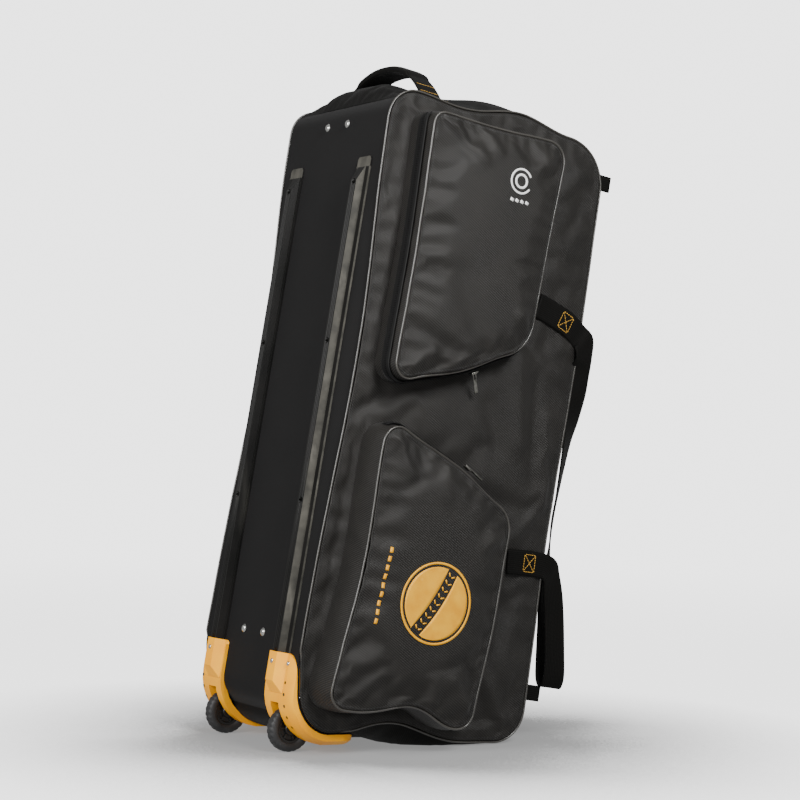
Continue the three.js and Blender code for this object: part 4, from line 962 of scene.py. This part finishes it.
# Rails and housings keep their solids' forms, with rounded edges
skidTip = {
    "from": 84, "to": 119.5, "cuts": (92, 99, 105, 110, 114, 117), "middle": 108.5,
    "leastWidth": 0.3, "level": -3.5, "levelRise": 2, "thinning": 0.55,
}


def taperSkid(mesh):
    # The skid's tongue narrows and thins towards a rounded tip
    for cut in skidTip["cuts"]:
        bmesh.ops.bisect_plane(mesh, geom=mesh.verts[:] + mesh.edges[:] + mesh.faces[:],
                               plane_co=(cut, 0, 0), plane_no=(1, 0, 0))
    tip = [v for v in mesh.verts if v.co.x > skidTip["from"]]
    for vertex in tip:
        t = (vertex.co.x - skidTip["from"]) / (skidTip["to"] - skidTip["from"])
        hand = 1 if vertex.co.y > 0 else -1
        across = (1 - min(0.985, t) ** 2.6) ** 0.5
        side = hand * skidTip["middle"]
        vertex.co.y = side + (vertex.co.y - side) * max(skidTip["leastWidth"], across)
        level = skidTip["level"] + skidTip["levelRise"] * t
        vertex.co.z = level + (vertex.co.z - level) * (1 - skidTip["thinning"] * t ** 4)


def roundedCopy(name, node, material, rounding, shaping=None):
    mesh = bmesh.new()
    mesh.from_mesh(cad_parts[node].data)
    bmesh.ops.remove_doubles(mesh, verts=mesh.verts, dist=1e-6)
    bmesh.ops.dissolve_limit(mesh, angle_limit=radians(1), verts=mesh.verts, edges=mesh.edges)
    sharp = [edge for edge in mesh.edges if edge.is_manifold
             and edge.calc_face_angle(0) > radians(28) and edge.calc_length() > 0.0021]
    bmesh.ops.bevel(mesh, geom=sharp, offset=rounding / 1000, segments=2, profile=0.5, affect="EDGES", material=-1,
                    clamp_overlap=True)
    mesh.transform(toBag)
    if shaping:
        shaping(mesh)
    piece = finishPiece(name, mesh, [material], [node])
    piece.data.set_sharp_from_angle(angle=radians(60))
    even = piece.modifiers.new("even_shading", "WEIGHTED_NORMAL")
    even.keep_sharp = True
    return piece


railTab = {"cut": 0.0155, "reach": 0.016}  # metres down from the rail's top
for side in ("near", "far"):
    moulding = roundedCopy(f"rail_moulding_{side}", f"rail_{side}", railAbs, 0.5)
    moulding.data.materials.append(railPaleAndLit)
    railTop = max(vertex.co.z for vertex in moulding.data.vertices)
    mesh = bmesh.new()
    mesh.from_mesh(moulding.data)
    bmesh.ops.bisect_plane(mesh, geom=mesh.verts[:] + mesh.edges[:] + mesh.faces[:], dist=1e-6,
                           plane_co=(0, 0, railTop - railTab["cut"]), plane_no=(0, 0, 1))
    mesh.to_mesh(moulding.data)
    mesh.free()
    for polygon in moulding.data.polygons:  # the paler material on the flat tab at the top, and painted light on the flank of the near rail only
        tab = polygon.normal.x < -0.8 and polygon.center.z > railTop - railTab["reach"]
        paintedLightFlank = side == "near" and polygon.normal.y < -0.8 and polygon.area > 1e-4
        polygon.material_index = 1 if tab or paintedLightFlank else 0
    roundedCopy(f"housing_moulding_{side}", f"wheel_housing_{side}", housingNylon, 0.5, taperSkid)
    roundedCopy(f"axle_bar_{side}", f"axle_{side}", nickelSteel, 0.4)
# Dark plugs filling the housing's holes: painted shade for the depth of the holes
holeShadePlugs = {
    "count": 5, "across": 129.5, "pitch": 17, "radius": 73, "sunk": -0.15, "centre": (64.5, 60),
    "radii": (2.5, 2.3), "depth": 2,
}
for hand, side in hands:
    mesh = bmesh.new()
    for k in range(holeShadePlugs["count"]):
        angle = pi + max(0, (k - 0.5) * holeShadePlugs["pitch"] / holeShadePlugs["radius"])
        drop = holeShadePlugs["pitch"] / 2 if k == 0 else 0
        out = Vector((cos(angle), 0, sin(angle)))
        at = Vector((holeShadePlugs["centre"][0], hand * holeShadePlugs["across"], holeShadePlugs["centre"][1] + drop))
        at += out * (holeShadePlugs["radius"] - holeShadePlugs["sunk"] - holeShadePlugs["depth"] / 2)
        place = Matrix.Translation(at) @ out.to_track_quat("Z", "Y").to_matrix().to_4x4()
        bmesh.ops.create_cone(mesh, cap_ends=True, segments=12, radius1=holeShadePlugs["radii"][0],
                              radius2=holeShadePlugs["radii"][1], depth=holeShadePlugs["depth"], matrix=place)
    finishPiece(f"housing_hole_shade_plugs_{side}", mesh, [hubNylon])
print("rails and housings made")

# Wheels: rubber tyre with blocks on its tread, and a spoked hub
wheel = {
    "treadDepth": 1.4, "treadFrom": 31.5, "blocks": 24, "steps": 96,
    # profiles as radius and place along the axle
    "tyre": [(20.2, -7.2), (21.5, -8.6), (24, -9.5), (28, -9.3), (30.6, -8.2), (32.2, -6.4), (33, -4), (33, 0),
             (33, 4), (32.2, 6.4), (30.6, 8.2), (28, 9.3), (24, 9.5), (21.5, 8.6), (20.2, 7.2)],
    "hub": [(3.2, -8), (8, -8), (8.8, -7.2), (9.4, -3.2), (15.6, -3.2), (16.4, -6.2), (17.2, -7), (19.9, -7),
            (19.9, 7), (17.2, 7), (16.4, 6.2), (15.6, 3.2), (9.4, 3.2), (8.8, 7.2), (8, 8), (3.2, 8)],
    "spokes": 6, "spoke": (9, 11, 2.6), "spokeAt": 12.6,
}


def spun(profile, steps, centre):
    mesh = bmesh.new()
    corners = [mesh.verts.new(centre + Vector((r, y, 0))) for r, y in profile]
    edges = [mesh.edges.new((corners[i], corners[(i + 1) % len(corners)])) for i in range(len(corners))]
    bmesh.ops.spin(mesh, geom=corners + edges, cent=centre, axis=(0, 1, 0), angle=2 * pi, steps=steps, use_merge=True)
    bmesh.ops.remove_doubles(mesh, verts=mesh.verts, dist=0.001)
    bmesh.ops.recalc_face_normals(mesh, faces=mesh.faces)
    return mesh


for hand, side in hands:
    centre = Vector((bagShape["wheelSetback"], hand * bagShape["wheelTrack"], bagShape["wheelHeight"]))
    tyre = spun(wheel["tyre"], wheel["steps"], centre)
    perBlock = wheel["steps"] // wheel["blocks"]
    for vertex in tyre.verts:
        away = vertex.co - centre
        radius = hypot(away.x, away.z)
        if radius < wheel["treadFrom"]:
            continue
        step = round(atan2(away.z, away.x) / (2 * pi) * wheel["steps"]) % wheel["steps"]
        row = (1 if away.y > 0 else 0) * perBlock // 2
        if (step + row) % perBlock == 0:
            inwards = Vector((away.x, 0, away.z)) * (1 - wheel["treadDepth"] / radius)
            vertex.co = centre + inwards + Vector((0, away.y, 0))
    finishPiece(f"tyre_rubber_{side}", tyre, [tyreRubber], [f"tyre_{side}"], f"wheel_{side}")
    hub = spun(wheel["hub"], 48, centre)
    for k in range(wheel["spokes"]):
        turned = Matrix.Translation(centre) @ Matrix.Rotation(2 * pi * k / wheel["spokes"], 4, "Y")
        boxPart(hub, turned @ Matrix.Translation((wheel["spokeAt"], 0, 0)), wheel["spoke"], 0.5)
    finishPiece(f"hub_moulding_{side}", hub, [hubNylon], [f"hub_{side}"], f"wheel_{side}")
print("wheels made")


# Domed rivets and pan-head screws
def domePiece(name, node, profile, slots):
    low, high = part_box(node)
    middle = toBag @ ((low + high) / 2)
    corners = [toBag @ v.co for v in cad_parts[node].data.vertices]
    seat = max(corner.x for corner in corners)
    mesh = bmesh.new()
    spots = [mesh.verts.new((seat - h, middle.y + r, middle.z)) for r, h in profile]
    edges = [mesh.edges.new(pair) for pair in zip(spots, spots[1:])]
    centre = (seat, middle.y, middle.z)
    bmesh.ops.spin(mesh, geom=spots + edges, cent=centre, axis=(1, 0, 0), angle=2 * pi, steps=28, use_merge=True)
    bmesh.ops.remove_doubles(mesh, verts=mesh.verts, dist=0.001)
    bmesh.ops.holes_fill(mesh, edges=[edge for edge in mesh.edges if edge.is_boundary])
    bmesh.ops.recalc_face_normals(mesh, faces=mesh.faces)
    for angle in slots:
        place = Matrix.Translation((seat - profile[-1][1], middle.y, middle.z)) @ Matrix.Rotation(angle, 4, "X")
        boxPart(mesh, place, screwSlot, 0.15)
    finishPiece(name, mesh, [nickelSteel], [node])


# Radius and height
rivetProfile = [(6.2, 0), (6.2, 0.6), (5.4, 1), (5.1, 1.9), (4.2, 2.8), (2.6, 3.4), (1.2, 3.55), (0, 3.6)]
screwProfile = [(3.6, 0), (3.6, 0.5), (3.1, 1.2), (2.2, 1.7), (1, 1.85), (0, 1.9)]
screwSlot = (0.5, 3.6, 0.8)
for side in ("near", "far"):
    for row in ("lower", "upper"):
        domePiece(f"rivet_dome_{row}_{side}", f"rivet_{row}_{side}", rivetProfile, [])
    for place in ("flange", "cap"):
        domePiece(f"screw_head_{place}_{side}", f"housing_screw_{place}_{side}", screwProfile, [0.4, 0.4 + pi / 2])
print("fasteners made")

# Lid zip all round with its two sliders, and the folded tabs at the lid's edge
lidZip = {"inset": 42, "corner": 21, "steps": 240, "lift": 1.6}
lidSurface = surfaceOf(lidPanel)
outOfLid = Vector((1, 0, 0))
half = bagShape["halfWidth"] - lidZip["inset"]
lowEnd = lidZip["inset"] + bagShape["corners"][3][1] * bagShape["length"]
highEnd = bagShape["length"] - lidZip["inset"]
path = []
for cy, cz, first in ((-half, highEnd, pi), (half, highEnd, pi / 2), (half, lowEnd, 0), (-half, lowEnd, -pi / 2)):
    cy -= lidZip["corner"] * (1 if cy > 0 else -1)
    cz -= lidZip["corner"] * (1 if cz > bagMiddle.z else -1)
    for k in range(9):
        angle = first - k * pi / 16
        path.append(Vector((cy + lidZip["corner"] * cos(angle), cz + lidZip["corner"] * sin(angle))))
lengths = [0]
for a, b in zip(path, path[1:] + path[:1]):
    lengths.append(lengths[-1] + (b - a).length)
points = []
for k in range(lidZip["steps"]):
    at, i = lengths[-1] * k / lidZip["steps"], 0
    while lengths[i + 1] < at:
        i += 1
    t = (at - lengths[i]) / (lengths[i + 1] - lengths[i])
    spot = path[i].lerp(path[(i + 1) % len(path)], t)
    points.append(pressed(lidSurface, Vector((0, spot.x, spot.y)), outOfLid, lidZip["lift"]))
acrosses = []
for i, point in enumerate(points):
    tangent = points[(i + 1) % len(points)] - points[i - 1]
    acrosses.append(tangent.cross(outOfLid))
track = trackOf(points, acrosses, True)
zipPieces("lid_zip", track, 1 if track[0][2].x > 0 else -1, ["lid_zip"])
for side in ("upper", "lower"):
    low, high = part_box(f"lid_slider_{side}")
    nodeAt = toBag @ ((low + high) / 2)
    best = min(track, key=lambda row: (row[0] - nodeAt).length)
    sliderPiece(f"lid_slider_cast_{side}", best[0], best[3], outOfLid, False, [f"lid_slider_{side}"])
tabs = {"width": 24, "extra": 8, "thickness": 1.4, "steps": 8, "halfGap": 1.3, "bend": 2.2, "back": 2, "front": 3}
for side in ("upper", "lower"):
    corners = [toBag @ v.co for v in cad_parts[f"zip_tab_{side}"].data.vertices]
    low = Vector([min(c[i] for c in corners) for i in range(3)])
    high = Vector([max(c[i] for c in corners) for i in range(3)])
    high.x += tabs["extra"]
    middle = (low + high) / 2
    length = high.x - low.x
    points, steps = [], tabs["steps"]
    for k in range(2 * steps + 1):
        fold = k - steps
        if abs(fold) > 2:
            flat = k if fold < 0 else 2 * steps - k
            x = low.x - tabs["back"] + (length - tabs["front"]) * (flat / (steps - 2))
            y = middle.y + (tabs["halfGap"] if fold > 0 else -tabs["halfGap"])
        else:
            angle = pi / 2 * fold / 3
            x = high.x - tabs["front"] + tabs["bend"] * cos(angle)
            y = middle.y + tabs["halfGap"] * sin(angle)
        points.append(Vector((x, y, middle.z)))
    track = trackOf(points, [Vector((0, 0, 1))] * len(points), False)
    addBand(f"zip_tab_webbing_{side}", track, tabs["width"], tabs["thickness"], webbingBlack,
            [f"zip_tab_{side}"])
print("lid zip and tabs made")

# Padded top handle with its webbing feet
handle = {
    "setback": 78, "reach": 118, "rise": 50, "arch": 2.3, "width": 42, "thickness": 13, "foot": 38,
    "footThickness": 4.4, "padEnd": 0.62, "squareness": 0.62, "dip": 0.12, "rows": 64, "columns": 24,
    "footFrom": 96, "footRun": 51, "footWall": 1.8, "stitchLift": 2.4,
}
goldStitch = {"length": 3.4, "gap": 1.2}
topSurface = surfaceOf(topPanel)
upwards = Vector((0, 0, 1))
footAt = max((toBag @ v.co).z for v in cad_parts["top_handle"].data.vertices)
footAt = footAt - handle["rise"] - handle["thickness"] / 2


def handleBow(share):
    # The handle's middle line at a share of its reach, and the way up from it
    rise, arch = handle["rise"], handle["arch"]
    slope = -rise * arch * abs(share) ** (arch - 1) * (1 if share > 0 else -1) / handle["reach"]
    return footAt + rise * (1 - abs(share) ** arch), Vector((0, -slope, 1)).normalized()


def handlePlace(column, row):
    share = 2 * row / handle["rows"] - 1
    z, up = handleBow(share)
    pad = 1 - smooth(handle["padEnd"] - 0.06, handle["padEnd"] + 0.05, abs(share))
    thick = blend(handle["footThickness"], handle["thickness"], pad)
    wide = blend(handle["foot"], handle["width"], pad)
    angle = 2 * pi * column / handle["columns"]
    c, s = cos(angle), sin(angle)
    across = wide / 2 * abs(c) ** handle["squareness"] * (1 if c > 0 else -1)
    lift = thick / 2 * abs(s) ** handle["squareness"] * (1 if s > 0 else -1)
    lift *= 1 - handle["dip"] * pad * (1 - abs(c))
    at = Vector((handle["setback"] + across, share * handle["reach"], z)) + up * lift
    return at, (across, share * handle["reach"] * 1.15)


def handleTop(share, across):
    z, up = handleBow(share)
    return Vector((handle["setback"] + across, share * handle["reach"], z)) + up * handle["stitchLift"]


handleMiddle = Vector((handle["setback"], 0, footAt + handle["rise"]))
mesh = sheetOf(handle["columns"], handle["rows"], handlePlace, away=handleMiddle, seams=True)
bmesh.ops.holes_fill(mesh, edges=[edge for edge in mesh.edges if edge.is_boundary])
bmesh.ops.recalc_face_normals(mesh, faces=mesh.faces)
topHandle = finishPiece("top_handle_padded", mesh, [webbingBlack], ["top_handle"])
for hand, side in hands:
    points = []
    for k in range(13):
        y = hand * (handle["footFrom"] + handle["footRun"] * k / 12)
        at = pressed(topSurface, Vector((handle["setback"], y, 900)), upwards, 1.4)
        if k == 12:
            at.z -= 2
        points.append(at)
    track = trackOf(points, [Vector((1, 0, 0))] * len(points), False)
    addBand(f"handle_foot_{side}", track, handle["foot"], handle["footWall"], webbingBlack)
    for label, share in (("inner", 0.84), ("outer", 0.965)):
        points = [handleTop(hand * share, t) for t in range(-17, 18, 2)]
        crossTrack = trackOf(points, [acrossBag] * len(points), False)
        mesh = stitchMesh(crossTrack, goldStitch["length"], goldStitch["gap"], 1.1, 0.1)
        finishPiece(f"handle_stitch_{side}_{label}", mesh, [goldThread])
    for label, offset in (("left", -15), ("right", 15)):
        lineTrack = [(p + a * offset, a, n, t, r) for p, a, n, t, r in track]
        lift = 1.2 if track[0][2].z > 0 else -1.2
        mesh = stitchMesh(lineTrack, goldStitch["length"], goldStitch["gap"], 0.9, lift)
        finishPiece(f"handle_stitch_{side}_{label}", mesh, [goldThread])
print("top handle made")

# Carry handles: two sewn ends and a hanging loop between them
carry = {
    "width": 38, "thickness": 2.2, "steps": 5, "lift": 2.7, "box": (13, 11),
    # depth, out and length shares, then the way across the webbing
    "hang": [
        (1.008, 1.043, 0.679, 0.6, 0, 0.8), (1.025, 1.025, 0.656, 0.8, 0.2, 0.3),
        (1.026, 0.98, 0.632, 1, 0.02, 0.05),
        (1.028, 0.975, 0.598, 1, 0.1, 0), (1.037, 0.933, 0.558, 1, 0.4, 0), (1.04, 0.9, 0.516, 0.75, 0.62, 0),
        (1.045, 0.855, 0.432, 0.6, 0.75, 0), (1.045, 0.84, 0.389, 0.6, 0.77, 0), (1.054, 0.826, 0.347, 0.6, 0.8, 0),
        (1.063, 0.81, 0.305, 0.75, 0.6, 0), (1.081, 0.797, 0.263, 0.9, 0.4, 0), (1.107, 0.79, 0.216, 1, 0.2, 0),
        (1.127, 0.788, 0.168, 1, 0.1, 0), (1.138, 0.797, 0.14, 1, 0, 0), (1.142, 0.823, 0.127, 1, 0, 0),
        (1.144, 0.863, 0.122, 1, 0, 0), (1.144, 0.904, 0.127, 1, 0, 0), (1.14, 0.93, 0.144, 1, 0, 0),
        (1.122, 0.94, 0.185, 1, 0.1, 0), (1.1, 0.947, 0.225, 1, 0.1, 0.1), (1.073, 0.964, 0.263, 0.9, 0.1, 0.4),
        (1.046, 0.989, 0.29, 0.6, 0.1, 0.8), (1.022, 1.019, 0.306, 0.3, 0, 1)],
    # depth and length shares on the panel, then the way across
    "upper": [(0.757, 0.719, 0.25, 1), (0.838, 0.712, 0.25, 1), (0.919, 0.702, 0.35, 1), (0.98, 0.688, 0.5, 0.9)],
    "lower": [(0.982, 0.312, 0.1, 1), (0.888, 0.312, 0, 1), (0.802, 0.309, 0, 1)],
}
for hand, side in hands:
    def onPanel(depth, length, ax, az):
        x, z = depth * bagShape["depth"], length * bagShape["length"]
        at = Vector((x, hand * (sideFace + crownLift(x, z) + carry["lift"]), z))
        return [at, Vector((ax, 0, az))]

    def hanging(depth, out, length, ax, ay, az):
        at = Vector((depth * bagShape["depth"], hand * out * bagShape["halfWidth"], length * bagShape["length"]))
        return [at, Vector((ax, -hand * ay, az))]

    rows = [onPanel(*row) for row in carry["upper"]] + [hanging(*row) for row in carry["hang"]]
    rows += [onPanel(*row) for row in carry["lower"]]
    rows = smoothRows(rows, carry["steps"])
    track = trackOf([row[0] for row in rows], [row[1] for row in rows], False)
    addBand(f"carry_webbing_{side}", track, carry["width"], carry["thickness"], webbingBlack,
            [f"carry_strap_{side}"])
    # Box and cross of gold thread on each sewn end
    for end, centreRow in (("upper", 9), ("lower", len(track) - 7)):
        middle, across, normal, tangent, _ = track[centreRow]
        lift = 1.4 if normal.y * hand > 0 else -1.4
        halfWide, halfLong = carry["box"]
        corners = [middle + across * a * halfWide + tangent * t * halfLong
                   for a, t in ((-1, -1), (1, -1), (1, 1), (-1, 1))]
        box = bmesh.new()
        for a, b in ((0, 1), (1, 2), (2, 3), (3, 0), (0, 2), (1, 3)):
            line = trackOf([corners[a].lerp(corners[b], k / 8) for k in range(9)], [normal] * 9, False)
            part = stitchMesh([(p, t.cross(normal), normal, t, r) for p, _, _, t, r in line], 3, 1, 0.9, lift)
            data = bpy.data.meshes.new("part")
            part.to_mesh(data)
            part.free()
            box.from_mesh(data)
            bpy.data.meshes.remove(data)
        finishPiece(f"carry_stitch_{end}_{side}", box, [goldThread])
print("carry handles made")


# Printed marks pressed onto the cloth: plain rings, bars and dashes
printForm = {"lift": 0.5, "thickness": 0.5}


def printPiece(name, mesh, surface, material):
    bmesh.ops.remove_doubles(mesh, verts=mesh.verts, dist=0.01)
    for vertex in mesh.verts:
        spot = Vector((vertex.co.x, 0, vertex.co.y))
        vertex.co = pressed(surface, spot, -acrossBag, printForm["lift"])
    bmesh.ops.recalc_face_normals(mesh, faces=mesh.faces)
    for face in mesh.faces:
        face.normal_update()
        if face.normal.y > 0:
            face.normal_flip()
    piece = finishPiece(name, mesh, [material])
    addWall(piece, printForm["thickness"], 1)


def ringInto(mesh, centre, inner, outer, first, last, steps):
    for k in range(steps):
        a, b = [radians(blend(first, last, (k + d) / steps)) for d in (0, 1)]
        spots = ((inner, a), (outer, a), (outer, b), (inner, b))
        mesh.faces.new([mesh.verts.new((centre[0] + r * cos(t), centre[1] + r * sin(t), 0)) for r, t in spots])


def barInto(mesh, start, end, wide, steps):
    run = Vector(end) - Vector(start)
    side = Vector((-run.y, run.x)).normalized() * wide / 2
    for k in range(steps):
        a, b = Vector(start) + run * k / steps, Vector(start) + run * (k + 1) / steps
        mesh.faces.new([mesh.verts.new((*p, 0)) for p in (a - side, a + side, b + side, b - side)])


badge = {
    "centre": (162, 214), "radius": 53, "rim": (56.5, 60), "turn": 62, "seam": 9, "bow": 5, "stitches": 9,
}
dashes = {"from": (76.1, 282.9), "to": (67.8, 167.1), "count": 9, "filled": 0.62, "width": 4.6}
openRing = {
    "centre": (195, 846), "outer": (16.5, 19.5), "gap": (30, 330), "inner": (8, 11.5),
    "dots": 4, "dotFrom": (180, 817), "dotTo": (185.5, 815), "dotPitch": 9, "dotWidth": 4.6,
}


def discInto(mesh, values):
    # Two halves of a plain ball, apart along its bowed seam, with slanted stitches between them
    turned = Matrix.Rotation(radians(values["turn"]), 2)
    middle, radius = Vector(values["centre"]), values["radius"]
    ringInto(mesh, values["centre"], *values["rim"], 0, 360, 72)
    for flip in (-1, 1):
        rows = []
        for k in range(33):
            u = radius * sin(pi / 2 * (k / 16 - 1)) * 0.985
            inner = values["seam"] + values["bow"] * (u / radius) ** 2 * flip
            outer = max(inner + 0.2, (radius ** 2 - u * u) ** 0.5)
            spots = [middle + turned @ Vector((u, flip * blend(inner, outer, j / 10))) for j in range(11)]
            rows.append([mesh.verts.new((*spot, 0)) for spot in spots])
        for a, b in zip(rows, rows[1:]):
            for j in range(10):
                mesh.faces.new((a[j], a[j + 1], b[j + 1], b[j]))
    for k in range(values["stitches"]):
        u = radius * 0.86 * (2 * k / (values["stitches"] - 1) - 1)
        shift = values["bow"] * (u / radius) ** 2
        for flip in (-1, 1):
            start = middle + turned @ Vector((u - 1.6, shift + flip * 1.4))
            end = middle + turned @ Vector((u + 2.4, shift + flip * 6))
            barInto(mesh, start, end, 2, 2)


lowerSurface = surfaceOf(faces["lower_pocket"])
mark = bmesh.new()
discInto(mark, badge)
printPiece("gold_badge_print", mark, lowerSurface, goldPrint)
mark = bmesh.new()
for k in range(dashes["count"]):
    a, b = [Vector(dashes["from"]).lerp(Vector(dashes["to"]), (k + d) / dashes["count"])
            for d in (0, dashes["filled"])]
    barInto(mark, a, b, dashes["width"], 3)
printPiece("gold_dash_print", mark, lowerSurface, goldPrint)
upperSurface = surfaceOf(faces["upper_pocket"])
mark = bmesh.new()
ringInto(mark, openRing["centre"], *openRing["outer"], *openRing["gap"], 40)
ringInto(mark, openRing["centre"], *openRing["inner"], 0, 360, 28)
for k in range(openRing["dots"]):
    shift = Vector((openRing["dotPitch"] * k, 0))
    start, end = Vector(openRing["dotFrom"]) + shift, Vector(openRing["dotTo"]) + shift
    barInto(mark, start, end, openRing["dotWidth"], 2)
printPiece("white_ring_print", mark, upperSurface, whitePrint)
print("prints made")

# Topstitching beside the piping
stitching = {"inset": 6.5, "length": 3.4, "gap": 1.6, "thickness": 0.8, "lift": 0.35}


def topStitch(name, outline, surface, out, inset):
    points = [pressed(surface, Vector((p.x - n.x * inset, 0, p.y - n.y * inset)), out, stitching["lift"])
              for p, n in outline]
    acrosses = [Vector((n.x, 0, n.y)) for p, n in outline]
    track = trackOf(points, acrosses, True)
    lift = 0.1 if track[0][2].dot(out) > 0 else -0.1
    mesh = stitchMesh(track, stitching["length"], stitching["gap"], stitching["thickness"], lift)
    finishPiece(name, mesh, [blackThread])


for hand, side in hands:
    topStitch(f"side_stitches_{side}", bagOutline, surfaceOf(panels[side]), acrossBag * hand, stitching["inset"])
for name, shape in pockets.items():
    topStitch(f"{name}_stitches", shape["outline"], surfaceOf(faces[name]), -acrossBag, stitching["inset"] - 1)
print("topstitching made")

# Pale studio floor with a painted shadow round the bag, and soft lights
floorMesh = bmesh.new()
bmesh.ops.create_grid(floorMesh, x_segments=4, y_segments=4, size=30)
floorData = bpy.data.meshes.new("studio_floor")
floorMesh.to_mesh(floorData)
floorMesh.free()
studioFloor = bpy.data.objects.new("studio_floor", floorData)
bpy.context.collection.objects.link(studioFloor)
paper = bpy.data.materials.new("studio_paper")
paper.use_nodes = True
tree = paper.node_tree
shader = tree.nodes["Principled BSDF"]
shader.inputs["Base Color"].default_value = linearOf("#e4e4e4")
shader.inputs["Roughness"].default_value = 0.9
studio = {"back": 3.1, "fill": 0.4, "near": 1.4, "far": 4.5, "lit": 0.82, "paintedShadowReach": 0.6, "paintedShadowDarkest": 0.1}
place = addNode(tree, "ShaderNodeTexCoord", {}).outputs["Object"]
away = addNode(tree, "ShaderNodeVectorMath", {0: place}, operation="LENGTH").outputs["Value"]
fade = addNode(tree, "ShaderNodeMapRange", {
    "Value": away, "From Min": studio["near"], "From Max": studio["far"], "To Min": studio["lit"],
}, interpolation_type="SMOOTHSTEP")
seen = addNode(tree, "ShaderNodeLightPath", {}).outputs["Is Camera Ray"]
# Painted shadow: ambient occlusion darkens the floor's glow where the bag is near
shade = addNode(tree, "ShaderNodeAmbientOcclusion", {"Distance": studio["paintedShadowReach"]}, samples=8).outputs["AO"]
shade = addNode(tree, "ShaderNodeMapRange", {
    "Value": shade, "From Min": 0.78, "To Min": studio["paintedShadowDarkest"] * studio["back"], "To Max": studio["back"]})
level = addNode(tree, "ShaderNodeMapRange", {"Value": seen, "To Min": studio["fill"], "To Max": shade.outputs[0]})
glow = addNode(tree, "ShaderNodeEmission", {"Color": (1, 1, 1, 1), "Strength": level.outputs[0]})
mix = addNode(tree, "ShaderNodeMixShader", {0: fade.outputs[0], 1: shader.outputs[0], 2: glow.outputs[0]})
tree.links.new(mix.outputs[0], tree.nodes["Material Output"].inputs["Surface"])
floorData.materials.append(paper)

world = bpy.data.worlds.new("studio")
bpy.context.scene.world = world
world.use_nodes = True
world.node_tree.nodes["Background"].inputs["Color"].default_value = (1, 1, 1, 1)
tree = world.node_tree
seen = addNode(tree, "ShaderNodeLightPath", {}).outputs["Is Camera Ray"]
level = addNode(tree, "ShaderNodeMapRange", {"Value": seen, "To Min": studio["fill"], "To Max": studio["back"]})
tree.links.new(level.outputs[0], tree.nodes["Background"].inputs["Strength"])

lamps = {  # place in metres, size and power
    "key": ((-0.05, -1.85, 1.7), 0.8, 60), "left": ((-3.2, -0.9, 1.8), 1.2, 150),
    "low": ((-1.5, -1.7, 0.5), 0.4, 9),
}
for name, (place, size, power) in lamps.items():
    light = bpy.data.lights.new(name, "AREA")
    light.size = size
    light.energy = power
    lamp = bpy.data.objects.new(name, light)
    bpy.context.collection.objects.link(lamp)
    lamp.location = place
    lamp.rotation_euler = (Vector((0, 0, 0.65)) - Vector(place)).to_track_quat("-Z", "Y").to_euler()
print("studio made")
